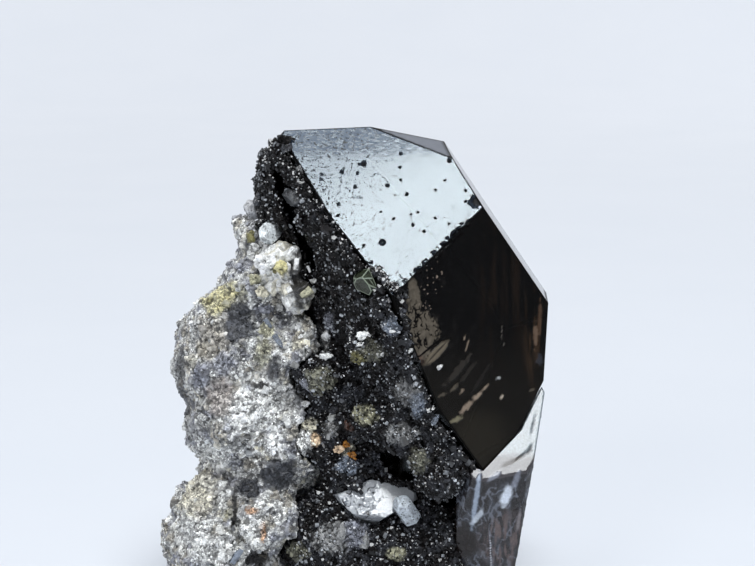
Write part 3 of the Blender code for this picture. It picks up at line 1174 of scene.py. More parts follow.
@dataclass(frozen=True)
class Nugget:
    """One larger grain or small crystal: where it is seen, its half sizes, lean and cover."""

    form: Form
    mineral: Mineral
    x: float
    y: float
    length: float
    width: float
    lean: float = 0.0
    cover: float = 1.0

    def shape(self, rng: np.random.Generator) -> tuple[np.ndarray, np.ndarray]:
        """The grain around its middle in millimetres, its length along X and Z to the viewer.

        Args:
            rng: draws what chance decides.

        Returns:
            The places, and the three corners of each triangle.
        """
        turned = Matrix.Identity(3)
        if self.form is Form.LUMP:
            bm = bmesh.new()
            fine = 4 if self.length > 1.0 else 3
            bmesh.ops.create_icosphere(bm, subdivisions=fine, radius=1.0)
        elif self.form is Form.BLOCK:
            bm = grain(rng, 3)
            bmesh.ops.scale(bm, vec=(0.8, 0.8, 0.8), verts=bm.verts[:])
        else:
            bm = quartz_point(0.9, 2.0, float(rng.uniform(0.1, 0.6)))
            turned = Matrix.Rotation(math.pi / 2, 3, "Y") @ Matrix.Rotation(rng.uniform(0, 1), 3, "Z")
        if self.form is not Form.LUMP:
            soften_edges(bm, 0.06, 1)
            bmesh.ops.triangulate(bm, faces=bm.faces[:])
            bmesh.ops.subdivide_edges(bm, edges=bm.edges[:], cuts=2, use_grid_fill=True)
        verts, faces = shape_arrays(bm)
        depth = 0.8 * min(self.length, self.width)
        verts = verts @ np.array(turned).T * (self.length, self.width, depth)
        return verts, faces

    def join(self, into: Joined, tree: BVHTree, rng: np.random.Generator) -> None:
        """Adds the grain to a joined mesh, half sunk in the surface that is seen there.

        Args:
            into: the joined mesh.
            tree: the surface.
            rng: draws the grain's own shape.
        """
        verts, faces = self.shape(rng)
        shift = float(rng.uniform(0, 50))
        unit = verts / np.maximum(np.linalg.norm(verts, axis=1), 1e-9)[:, None]
        rough = 0.3 if self.form is Form.LUMP else 0.05
        bulge = cloud(verts, 0.4 + 0.8 * self.width, shift)
        bulge = bulge + 0.7 * facets(verts, 0.25 + 0.4 * self.width, shift)
        verts = verts + unit * (bulge * rough * (0.4 + self.width))[:, None]
        turn = Matrix.Rotation(math.radians(self.lean), 3, "Z")
        turn = turn @ Matrix.Rotation(rng.normal(0, 0.2), 3, "X")
        middle = sighted(tree, self.x, self.y) + Vector((0, 0, 0.1 * self.width))
        places = (verts @ np.array(DISPLAY_TURN @ turn).T + np.array(DISPLAY_TURN @ middle)) * MM
        # Painted shade: each grain is darker where its surface dips and a little lighter where it bulges,
        # over a random tone.
        shade = 1 + 0.5 * cloud(verts, 0.45, shift) + 0.5 * np.clip(bulge, -1, 0.3)
        tint = np.ones((len(verts), 4))
        tint[:, :3] = np.array(self.mineral.colour) * np.clip(shade, 0.15, 1.5)[:, None]
        tint[:, 3] = self.cover
        into.add(places + np.array(VIEW_CENTRE), faces, tint)


def add_nuggets(
    name: str, rows: Sequence[Nugget], polish: float, tree: BVHTree, slot: str, node: str, seed: int
) -> None:
    """Makes one piece of larger grains.

    Args:
        name: the piece's name.
        rows: the grains.
        polish: their roughness.
        tree: the surface that they stand on.
        slot: the material slot.
        node: the CAD node that they belong to.
        seed: starts their random shapes.
    """
    rng = np.random.default_rng(seed)
    everything = Joined(name)
    for nugget in rows:
        nugget.join(everything, tree, rng)
    piece = everything.piece(polish, 0.35, smooth=True)
    dress(piece, QuartzFinish(name, None, 0.5, 0.1).material(), slot, node)


@dataclass(frozen=True)
class Pit:
    """A round pit in the bright face: where it is seen, and its radius in millimetres."""

    x: float
    y: float
    radius: float
    ring: bool = False


@dataclass(frozen=True)
class Mark:
    """A long mark on a face: where it is seen, its half sizes, lean, colour and height."""

    x: float
    y: float
    length: float
    width: float
    lean: float
    colour: Colour
    strength: float = 1.0
    height: float = 0.0

    def on(self, art: Painting, fray: Any = 0.0) -> None:
        """Lays the mark on a painting."""
        mask = oval(art.seen, self.x, self.y, self.length, self.width, self.lean, fray, 0.35)
        art.lay(mask * self.strength, self.colour, 1.0, 0.2, self.height)


DRUSE_RIM = (
    (-14.4, 20.5),
    (-13.4, 17.7),
    (-11.4, 15.7),
    (-10.5, 13.0),
    (-9.2, 11.7),
    (-6.0, 7.7),
    (-3.6, 4.2),
    (-2.0, 2.1),
    (0.4, 1.8),
    (2.0, -0.3),
    (3.9, -1.4),
)
SOOT = (0.0022, 0.0019, 0.0018)
TAUPE = (0.10, 0.085, 0.066)
GLINT_BEIGE = (0.30, 0.235, 0.18)
STEEL_BLUE = (0.34, 0.40, 0.50)
SOOT_LOW = (0.0085, 0.0072, 0.0058)
SOOT_OLIVE = (0.019, 0.016, 0.0115)
SOOT_DIM = (0.016, 0.014, 0.013)
EDGE_GLOW_BROWN = (0.085, 0.048, 0.026)
ETCHED_BROWN = (0.095, 0.062, 0.048)
GLINT_SPECK_BEIGE = (0.26, 0.21, 0.17)
BLADE = (0.13, 0.108, 0.08)
BLADE_GROOVE = (0.04, 0.034, 0.028)


@dataclass
class Crystal:
    """A crystal on its CAD faces: softened edges, a fine mesh, and a painting over it."""

    node: str
    name: str
    slot: str
    finish: QuartzFinish
    bevel: float = 0.1
    edge: float = 0.3
    crisp: float = 24.0

    def build(self) -> bpy.types.Object:
        """Builds the crystal.

        Returns:
            The piece that stands for the CAD node.
        """
        bm = node_shape(self.node)
        self.spans = [all_shown(np.array([v.co for v in e.verts])) for e in real_edges(bm)]
        soften_edges(bm, self.bevel * MM)
        refine(bm, self.longest)
        piece = object_from(self.name, bm)
        places, outward = mesh_arrays(piece.data)
        art = self.art(all_shown(places))
        art.onto(piece.data)
        set_places(piece.data, places + outward * (art.height * MM)[:, None])
        piece.data.shade_smooth()
        piece.data.set_sharp_from_angle(angle=math.radians(self.crisp))
        return dress(piece, self.finish.material(), self.slot, self.node)

    def longest(self, points: np.ndarray) -> Any:
        """How long the mesh's edges may be at each point."""
        return self.edge

    def near_edge(self, points: np.ndarray, width: float) -> np.ndarray:
        """A mask of 1 close to an edge between two faces."""
        return 1 - smooth_step(0.6 * width, width, span_distance(points, self.spans))

    def art(self, points: np.ndarray) -> Painting:
        """Paints the whole crystal."""
        raise NotImplementedError


@dataclass
class MorionCrystal(Crystal):
    """The large black crystal with its faces, pits and nicked edges."""

    node: str = "morion_crystal"
    name: str = "morion_crystal_faces"
    slot: str = "morion"
    finish: QuartzFinish = QuartzFinish(
        "morion_glass", ((0.62, 0.36, 0.16), 1100.0), 0.05, 0.2, 0.1, reflect=(0.86, 0.95, 1.0, 1.0)
    )
    bevel: float = 0.06
    pit_edge: float = 0.14
    bright_edge: float = 0.34
    dark_edge: float = 0.42
    rim_edge: float = 0.205
    etched_edge: float = 0.2
    plain_edge: float = 1.6
    pits: tuple[Pit, ...] = (
        Pit(-2.2, 19.1, 0.37),
        Pit(-3.0, 19.0, 0.18),
        Pit(-5.7, 17.8, 0.24),
        Pit(-3.6, 15.4, 0.22),
        Pit(1.6, 15.6, 0.24),
        Pit(4.7, 14.2, 0.22),
        Pit(3.6, 18.5, 0.18),
        Pit(3.7, 16.5, 0.16),
        Pit(-2.2, 6.0, 0.19),
        Pit(9.2, 10.4, 0.16),
        Pit(11.4, 9.5, 0.16),
        Pit(5.7, 9.3, 0.18),
        Pit(7.5, 8.3, 0.16),
        Pit(9.3, 14.9, 0.16),
        Pit(14.1, 14.8, 0.18),
        Pit(14.1, 13.1, 0.18),
        Pit(5.3, 11.0, 0.13),
        Pit(6.5, 11.3, 0.13),
        Pit(0.5, 11.4, 0.13),
        Pit(-6.3, 12.7, 0.18),
        Pit(-6.3, 10.8, 0.19),
        Pit(-7.6, 10.9, 0.16),
        Pit(-9.0, 17.4, 0.16),
        Pit(-9.1, 16.7, 0.14),
        Pit(-3.2, 17.6, 0.18),
        Pit(2.8, 14.1, 0.13),
        Pit(2.6, 10.3, 0.14),
        Pit(10.8, 16.4, 0.14),
        Pit(3.7, 20.7, 0.21),
        Pit(11.5, 19.6, 0.30),
        Pit(-1.0, 3.3, 0.21),
        Pit(-1.7, 3.2, 0.21),
        Pit(13.0, 8.5, 0.26),
        Pit(0.8, 6.5, 0.42, ring=True),
    )
    bright_marks: tuple[Mark, ...] = (
        Mark(1.5, 0.2, 1.0, 0.2, -60, SOOT),
        Mark(3.8, 1.0, 0.5, 0.1, 125, SOOT),
        Mark(4.6, 0.3, 0.5, 0.12, 10, SOOT),
        Mark(5.4, 1.3, 0.45, 0.1, 130, SOOT),
        Mark(5.8, 1.6, 0.35, 0.08, 130, SOOT),
        Mark(12.7, 8.6, 0.35, 0.2, 45, SOOT),
        Mark(1.2, 16.6, 0.9, 0.07, -50, SOOT, 0.8),
        Mark(-0.7, 17.2, 0.5, 0.08, 40, SOOT, 0.8),
    )
    dark_marks: tuple[Mark, ...] = (
        # Painted glints: the beige, olive and pale grey marks, raised a little as growth chips, stand in
        # for small facets catching the light.
        Mark(14.3, -19.8, 1.1, 0.42, 45, GLINT_BEIGE, 0.8, 0.12),
        Mark(16.0, -18.0, 1.0, 0.3, 45, GLINT_BEIGE, 0.9, 0.12),
        Mark(17.2, -16.8, 0.6, 0.22, 50, GLINT_BEIGE, 0.9, 0.12),
        Mark(12.6, -21.9, 1.1, 0.35, 25, (0.20, 0.18, 0.12), 0.9, 0.1),
        Mark(12.2, -16.8, 1.1, 0.25, 45, TAUPE, 0.9, 0.1),
        Mark(10.4, -17.9, 0.7, 0.25, 25, TAUPE, 0.8, 0.1),
        Mark(13.5, -17.3, 0.5, 0.16, 60, GLINT_BEIGE, 0.7, 0.08),
        Mark(14.4, -9.9, 0.9, 0.13, 75, GLINT_BEIGE, 0.7, 0.05),
        Mark(13.9, -8.8, 0.3, 0.12, 80, GLINT_BEIGE, 0.8, 0.05),
        Mark(19.9, -18.2, 0.4, 0.2, 55, (0.5, 0.42, 0.34), 1.0, 0.1),
        Mark(19.3, -15.2, 0.28, 0.2, 0, (0.4, 0.42, 0.42), 0.9, 0.1),
        Mark(19.9, -7.8, 1.3, 0.08, 88, (0.10, 0.09, 0.08), 0.8),
        Mark(20.2, -10.2, 0.8, 0.08, 86, (0.10, 0.09, 0.08), 0.8),
        Mark(24.7, -17.1, 0.5, 0.16, 25, TAUPE, 0.7, 0.05),
        Mark(25.9, -12.3, 0.5, 1.0, 0, (0.035, 0.037, 0.045), 0.8),
        Mark(12.9, -13.9, 2.8, 0.5, 50, (0.034, 0.030, 0.026), 0.9, 0.08),
        Mark(14.2, -14.6, 2.4, 0.3, 52, (0.026, 0.023, 0.020), 0.8, 0.06),
        Mark(16.4, -15.4, 2.2, 0.25, 58, (0.018, 0.016, 0.015), 0.8, 0.05),
        # Painted glow: the brown marks at the thin right edge stand in for light shining through it.
        Mark(25.3, -8.4, 0.35, 1.7, 0, (0.15, 0.10, 0.07), 0.8),
        Mark(26.0, -5.6, 0.25, 2.6, 0, (0.08, 0.05, 0.035), 0.7),
    )

    # Brown streaks of painted glow near the thin right edge, where light shines through the morion, tinted
    # its own smoky brown: each with its middle as seen, half sizes and strength.
    glow_streak_ovals: tuple[tuple[float, ...], ...] = (
        (18.3, 2.0, 1.8, 14.0, 0.1),
        (21.8, 0.0, 1.2, 10.0, 0.1),
        (25.4, -8.0, 1.6, 7.5, 0.5),
    )
    etched_ovals: tuple[tuple[float, ...], ...] = (
        (7.2, -7.4, 2.5, 2.9, 25),
        (5.6, -4.8, 1.2, 2.6, 8),
        (6.6, -11.2, 1.5, 1.3, 0),
    )

    def longest(self, points: np.ndarray) -> Any:
        """How long the mesh's edges may be at each point.

        Args:
            points: points of the display frame.

        Returns:
            One length in millimetres for each point.
        """
        bright, dark = Face.BRIGHT.depths(points), Face.DARK.depths(points)
        seen = all_seen(points)
        near_pit = np.full(len(points), 9.0)
        for pit in self.pits:
            away = np.hypot(seen[:, 0] - pit.x, seen[:, 1] - pit.y) / pit.radius
            near_pit = np.minimum(near_pit, away)
        fine = (dark < 0.5) | (seen[:, 1] > 19.5) | (route_distance(seen, DRUSE_RIM) < 1.2)
        on_bright = np.where(near_pit < 2.0, self.pit_edge, np.where(fine, self.rim_edge, self.bright_edge))
        etched = oval(seen, 8.0, -7.0, 4.6, 8.0) > 0
        on_dark = np.where(etched | (bright < 0.4), self.etched_edge, self.dark_edge)
        on_others = np.where(np.abs(dark) < 0.08, on_dark, self.plain_edge)
        return np.where(np.abs(bright) < 0.08, on_bright, on_others)

    def art(self, points: np.ndarray) -> Painting:
        """Paints every face of the crystal.

        Args:
            points: points of the display frame on the crystal.

        Returns:
            The painting.
        """
        art = Painting(points, SOOT, 0.2, 0.03)
        for face, painter in (
            (Face.BRIGHT, self.bright_art),
            (Face.DARK, self.dark_art),
            (Face.TOP, self.top_art),
        ):
            on = np.abs(face.depths(points)) < 0.05
            art.merge(on, painter(points[on]))
        # Painted shade: a matt black line along every edge, where the rounded edges show dark instead of a
        # reflection.
        art.lay(self.near_edge(points, 0.16), SOOT, 1.0, 0.3)
        return art

    def nicks(self, points: np.ndarray, other: Face) -> np.ndarray:
        """Where the edge toward another face is chipped.

        Args:
            points: points of the display frame on one face.
            other: the face on the edge's other side.

        Returns:
            A mask, from 0 to 1.
        """
        chips = smooth_step(0.02, 0.3, cloud(points, 0.6, 5.0))
        stretches = smooth_step(0.0, 0.4, cloud(points, 3.0, 9.0) + 0.3)
        return chips * stretches * (1 - smooth_step(0.1, 0.5, other.depths(points)))

    def bright_art(self, points: np.ndarray) -> Painting:
        """The bright face: dull toward the upper left, crinkled along its top, and pitted.

        Args:
            points: points of the display frame on the face.

        Returns:
            The painting.
        """
        art = Painting(points, (0.065, 0.09, 0.13), 0.0, 0.02)
        x, y = art.seen.T
        slant = 0.8 * y - 0.5 * x + 0.5 * cloud(points, 2.5, 4.0)
        art.cover += 0.5 * smooth_step(8.0, 22.0, slant)
        left = smooth_step(4.0, -9.0, x - 0.35 * y + 4.0)
        art.grit += 0.08 + 0.26 * left * smooth_step(8.0, 18.0, slant) + 0.14 * left
        crinkle = smooth_step(19.0, 22.0, y + 0.5 * cloud(points, 1.5, 6.0))
        lines = cloud(points * (0.5, 1.8, 1.0), 0.45, 2.0, 2)
        art.cover = np.clip(art.cover + crinkle * (0.33 - 0.35 * np.clip(lines, -0.6, 1.0)), 0.0, 1.0)
        art.height += 0.006 * lines * crinkle + 0.012 * cloud(points, 3.0, 1.0)
        dots = smooth_step(0.36, 0.5, cloud(points, 0.42, 12.0, 1)) * (0.4 + 0.6 * left)
        art.lay(dots * smooth_step(0.0, 0.3, cloud(points, 2.0, 13.0) + 0.5 * left), SOOT, 0.9)
        rim = route_distance(art.seen, DRUSE_RIM) + 0.5 * cloud(points, 0.8, 18.0, 2)
        art.lay(1 - smooth_step(0.25, 0.6, rim), SOOT, 1.0, 0.15)
        crumbs = smooth_step(0.1, 0.4, cloud(points, 0.5, 19.0, 1))
        art.lay((1 - smooth_step(0.6, 1.6, rim)) * crumbs, SOOT, 0.9)
        nicks = self.nicks(points, Face.DARK)
        art.lay(smooth_step(0.15, 0.45, nicks), SOOT, 1.0, 0.2)
        art.height -= 0.35 * nicks
        for mark in self.bright_marks:
            mark.on(art, 0.25 * cloud(points, 0.6, 3.0, 1))
        chipped = oval(art.seen, 16.3, 12.9, 0.9, 1.5, 60, 0.6 * cloud(points, 0.7, 8.0, 2))
        art.lay(chipped, SOOT, 1.0, 0.15, -0.25)
        # Painted highlight: a small bluish-white spot in the chip.
        art.lay(oval(art.seen, 16.4, 12.2, 0.28, 0.2, 40), (0.8, 0.85, 0.95), 1.0, 0.1, 0.1)
        for pit in self.pits:
            away = np.hypot(x - pit.x, y - pit.y) / (1.15 * pit.radius)
            dent = 1 - smooth_step(0.7, 1.1, away)
            if pit.ring:
                dent = dent * smooth_step(0.3, 0.5, away)
            art.lay(dent, SOOT, 1.0, 0.3, -0.6 * pit.radius)
        return art

    def dark_art(self, points: np.ndarray) -> Painting:
        """The dark face: soot black, with brown streaks of painted glow near its thin right edge, an etched
        patch, and growth chips painted pale as glints.

        Args:
            points: points of the display frame on the face.

        Returns:
            The painting.
        """
        art = Painting(points, SOOT, 0.92, 0.05)
        seen = art.seen
        art.lay(smooth_step(-6.0, -18.0, seen[:, 1]), SOOT_LOW)
        art.lay(oval(seen, 15.8, -25.2, 4.8, 4.2, 20, 0.2 * cloud(points, 2.0), 0.5), SOOT_OLIVE)
        # Painted glow: brown streaks near the thin right edge, where light shines through the morion.
        streak = smooth_step(-0.1, 0.5, cloud(points * (1.6, 0.12, 0.12), 1.0, 21.0))
        for x, y, rx, ry, share in self.glow_streak_ovals:
            art.lay(oval(seen, x, y, rx, ry, soft=0.8) * streak * share, EDGE_GLOW_BROWN)
        dim = smooth_step(0.25, 0.6, cloud(points, 0.9, 17.0)) * smooth_step(22.0, 8.0, seen[:, 0])
        art.lay(dim * 0.6, SOOT_DIM)
        self.etch(art)
        for mark in self.dark_marks:
            mark.on(art, 0.6 * cloud(points, 0.7, 23.0, 3))
        art.height -= 0.3 * self.nicks(points, Face.BRIGHT)
        return art

    def etch(self, art: Painting) -> None:
        """Lays the etched patch at the dark face's left: matt taupe, with squiggles and a blade, and tiny
        beige dots of painted glint in a crescent.

        Args:
            art: the dark face's painting.
        """
        points, seen = art.points, art.seen
        fray = 0.3 * cloud(points, 1.0, 14.0)
        etched = oval(seen, 6.0, -2.0, 0.85, 2.6, 12, fray)
        for x, y, rx, ry, lean in self.etched_ovals:
            etched = np.maximum(etched, oval(seen, x, y, rx, ry, lean, fray, 0.15))
        brown = oval(seen, 5.8, -12.3, 1.5, 1.2, 0, fray)
        tone = 1 + 0.35 * cloud(points, 0.7, 15.0)
        art.lay(etched, TAUPE, 1.0, 0.35, 0.08)
        art.lay(brown * 0.9, ETCHED_BROWN, 1.0, 0.35)
        art.colour *= np.clip(1 + (tone - 1) * etched, 0.3, 2.0)[:, None]
        squiggles = worms(points * (1.0, 0.7, 1.0), 0.75, 0.13, 1.0)
        squiggles *= smooth_step(-0.1, 0.2, cloud(points, 1.1, 34.0) + 0.25)
        squiggles *= smooth_step(-1.5, -4.5, seen[:, 1])
        art.lay(squiggles * etched, SOOT, 1.0, 0.2, -0.16)
        blade = oval(seen, 9.4, -11.2, 2.6, 0.72, 47, 0.15 * cloud(points, 0.8, 2.0))
        art.lay(blade, BLADE, 1.0, 0.3, 0.22)
        art.lay(oval(seen, 9.5, -11.0, 2.3, 0.12, 47), BLADE_GROOVE, 1.0, 0.3, -0.12)
        art.lay(oval(seen, 8.1, -10.6, 2.4, 0.2, 40, 0.4 * cloud(points, 0.8, 5.0)), SOOT, 1.0, 0.2, -0.1)
        # Painted glints: tiny beige dots in the black crescent, standing in for small facets catching the
        # light.
        specks = smooth_step(0.44, 0.56, cloud(points, 0.36, 31.0, 1))
        crescent = oval(seen, 8.6, -0.6, 1.5, 3.8, -15, fray, 0.4)
        art.lay(specks * crescent, GLINT_SPECK_BEIGE, 1.0, 0.15, 0.05)

    def top_art(self, points: np.ndarray) -> Painting:
        """The upper right face: an even, dull mid grey.

        Args:
            points: points of the display frame on the face.

        Returns:
            The painting.
        """
        art = Painting(points, (0.13, 0.143, 0.173), 0.9, 0.25)
        art.colour *= (1 + 0.12 * cloud(points, 2.5, 3.0))[:, None]
        return art


LEDGE_DISTANCE = -5.9


@dataclass
class SmokyFoot(Crystal):
    """The paler crystal under the morion, glassy on its ledge and fractured below."""

    node: str = "smoky_quartz_foot"
    name: str = "smoky_foot"
    slot: str = "smoky_quartz"
    finish: QuartzFinish = QuartzFinish("smoky_foot_quartz", ((0.70, 0.50, 0.34), 150.0), 0.4, 0.1, 0.25)
    edge: float = 0.36
    marks: tuple[Mark, ...] = (
        Mark(15.8, -34.4, 4.4, 0.4, 82, STEEL_BLUE, 0.9, 0.15),
        # Painted glint: a bluish-white spot.
        Mark(20.5, -34.2, 1.6, 0.8, 65, (0.70, 0.76, 0.86), 0.9, 0.1),
        Mark(16.0, -37.4, 1.4, 0.45, 50, (0.5, 0.55, 0.62), 0.9, 0.15),
        Mark(18.1, -43.2, 2.6, 0.08, 92, (0.6, 0.6, 0.65), 0.8),
        Mark(22.2, -31.5, 1.4, 0.5, 70, (0.25, 0.27, 0.33), 0.7, 0.08),
        Mark(18.6, -31.0, 1.2, 0.35, 35, (0.30, 0.32, 0.38), 0.7, 0.08),
        Mark(22.6, -38.0, 1.8, 0.3, 80, (0.22, 0.20, 0.21), 0.7, 0.05),
    )
    ledge_marks: tuple[Mark, ...] = (
        Mark(25.0, -22.6, 1.9, 0.16, 76, (0.02, 0.03, 0.04), 0.9, -0.05),
        Mark(24.5, -26.6, 0.9, 0.25, 70, (0.015, 0.018, 0.022), 0.9, -0.05),
        Mark(23.4, -27.6, 1.4, 0.3, 35, (0.03, 0.03, 0.034), 0.8, -0.05),
        Mark(21.4, -28.6, 1.8, 0.4, 25, (0.05, 0.036, 0.028), 0.8),
        # Painted reflection: a pale blue stroke across the ledge.
        Mark(20.6, -25.2, 2.6, 0.5, 45, (0.42, 0.50, 0.54), 0.5),
    )

    def art(self, points: np.ndarray) -> Painting:
        """Paints the ledge pale blue-grey as a painted reflection, and the broken part below it brown with
        blue-grey veils and a painted glint.

        Args:
            points: points of the display frame on the crystal.

        Returns:
            The painting.
        """
        art = Painting(points, (0.022, 0.02, 0.022), 0.88, 0.12)
        seen = art.seen
        depth = LEDGE_DISTANCE - points @ np.array(Face.BRIGHT.normal)
        below = smooth_step(0.3, 1.2, np.abs(depth))
        veils = smooth_step(0.05, 0.45, cloud(points * (0.9, 0.45, 0.9), 1.2, 4.0))
        art.lay(veils * below * 0.7, (0.065, 0.07, 0.085), 0.9)
        art.lay(worms(points * (1.0, 0.6, 1.0), 1.6, 0.05, 7.0) * below * 0.5, (0.22, 0.24, 0.29), 1.0)
        hollow = oval(seen, 13.4, -41.3, 2.8, 2.6, 0, 0.3 * cloud(points, 1.0), 0.4)
        art.lay(hollow, (0.014, 0.010, 0.009), 0.95)
        streaks = smooth_step(-0.3, 0.4, cloud(points * (1.6, 0.25, 0.6), 1.0, 9.0))
        art.lay(oval(seen, 20.0, -41.0, 3.2, 4.0, soft=0.5) * streaks, (0.13, 0.10, 0.098), 0.9)
        art.height += below * (0.10 * facets(points, 1.6) + 0.05 * cloud(points, 0.8, 3.0))
        ledge = np.abs(depth) < 0.25
        # Painted reflection: the ledge's pale blue-grey skin stands in for the glassy ledge reflecting the
        # pale backdrop; it is darker toward its lower end.
        shelf = Painting(points[ledge], (0.22, 0.26, 0.28), 0.85, 0.05)
        shelf.lay(smooth_step(0.0, 0.4, cloud(points[ledge] * (0.6, 1.4, 1.0), 1.4, 2.0)) * 0.7, None, 0.75)
        shelf.lay(smooth_step(-26.6, -28.2, shelf.seen[:, 1]), (0.06, 0.055, 0.06), 0.95)
        for mark in self.ledge_marks:
            mark.on(shelf, 0.3 * cloud(shelf.points, 0.8, 2.0, 2))
        art.merge(ledge, shelf)
        for mark in self.marks:
            mark.on(art, 0.35 * cloud(points, 0.9, 6.0, 2))
        return art


@dataclass
class PaleCrystal(Crystal):
    """A small pale crystal: milky, mottled and a little rough."""

    colour: Colour = (0.4, 0.4, 0.4)
    cover: float = 0.85
    uneven: float = 0.05

    def art(self, points: np.ndarray) -> Painting:
        """Paints the crystal in one mottled tone, with a painted highlight along its edges.

        Args:
            points: points of the display frame on the crystal.

        Returns:
            The painting.
        """
        art = Painting(points, self.colour, self.cover, 0.22)
        art.grit += 0.5
        clouds = cloud(points, 1.0, 2.0)
        art.colour *= np.clip(1 + 0.6 * clouds, 0.25, 1.6)[:, None]
        # Painted highlight: the colour is lightened along the edges.
        art.lay(self.near_edge(points, 0.3) * 0.5, tuple(min(1.0, 1.5 * c) for c in self.colour), 1.0)
        art.height += self.uneven * (cloud(points, 0.9) + facets(points, 1.2))
        return art


@dataclass
class StepCrystal(Crystal):
    """The bright broken step: solid at its right end, splintered at its left."""

    node: str = "step_crystal"
    name: str = "step_crystal_faces"
    slot: str = "step_quartz"
    finish: QuartzFinish = QuartzFinish("step_glass", ((0.6, 0.58, 0.55), 300.0), 0.5, 0.1, 0.15)
    bevel: float = 0.08
    edge: float = 0.16

    def art(self, points: np.ndarray) -> Painting:
        """Paints the step pale, partly as a painted reflection, and breaks its left part with painted
        shadows and shaded cracks.

        Args:
            points: points of the display frame on the crystal.

        Returns:
            The painting.
        """
        # Partly painted reflection: a pale bluish-white skin, standing in for the face catching the light
        # as the parallel bright face does.
        art = Painting(points, (0.84, 0.88, 0.93), 0.45, 0.06)
        seen = art.seen
        left = smooth_step(0.6, -1.0, seen[:, 0] + 0.6 * cloud(points, 1.0))
        gap_shade = worms(points, 1.5, 0.07, 4.0) * left
        art.height += 0.08 * left * facets(points, 1.0, 2.0) + 0.015 * cloud(points, 1.0)
        # Painted shadows: bluish dark patches among the splinters.
        dark = smooth_step(0.4, 0.6, cloud(points, 1.1, 8.0)) * left
        art.lay(dark * 0.85, (0.035, 0.045, 0.065), 0.9, 0.08)
        # Painted shade: black cracks between the splinters, also sunk a little.
        art.lay(gap_shade * smooth_step(-0.1, 0.2, cloud(points, 1.4, 3.0)), SOOT, 1.0, 0.2, -0.2)
        return art


@dataclass
class GreenCrystal(Crystal):
    """The small greenish crystal with its pale rim and the cross on its end."""

    node: str = "green_crystal"
    name: str = "green_crystal_faces"
    slot: str = "green_quartz"
    finish: QuartzFinish = QuartzFinish("green_glass", None, 0.4, 0.15, 0.3)
    bevel: float = 0.05
    edge: float = 0.12
    marks: tuple[Mark, ...] = (
        Mark(-1.5, 0.75, 1.3, 0.09, 2, (0.36, 0.42, 0.35), 0.8),
        Mark(-1.0, 0.2, 0.9, 0.07, -55, (0.24, 0.28, 0.22), 0.6),
    )

    def art(self, points: np.ndarray) -> Painting:
        """Paints the crystal.

        Args:
            points: points of the display frame on the crystal.

        Returns:
            The painting.
        """
        art = Painting(points, (0.03, 0.037, 0.022), 0.85, 0.08)
        art.colour *= np.clip(1 + 0.8 * cloud(points, 0.8, 5.0), 0.3, 2.2)[:, None]
        art.lay(self.near_edge(points, 0.15), (0.26, 0.30, 0.23), 1.0, 0.2)
        for mark in self.marks:
            mark.on(art, 0.2 * cloud(points, 0.5, 1.0, 1))
        return art


def build_small_crystals() -> None:
    """Builds the step and the small pale and green crystals that stand on the specimen."""
    grey = {"slot": "grey_quartz", "bevel": 0.18, "edge": 0.24}
    for node, colour, cover, uneven in (
        ("pale_stub_crystal", (0.50, 0.54, 0.58), 0.9, 0.05),
        ("grey_quartz_outer", (0.40, 0.405, 0.42), 0.95, 0.12),
        ("grey_quartz_middle", (0.62, 0.65, 0.66), 0.95, 0.12),
        # Painted shade: the valley crystal is the same grey quartz as the others, painted dark for the
        # shade of the valley it stands in.
        ("grey_quartz_valley", (0.09, 0.095, 0.10), 0.7, 0.1),
    ):
        finish = QuartzFinish(node + "_quartz", None, 0.5, 0.1, 0.4)
        look = {"finish": finish, "colour": colour, "cover": cover, "uneven": uneven}
        PaleCrystal(node, node + "_faces", **look, **grey).build()
    StepCrystal().build()
    GreenCrystal().build()


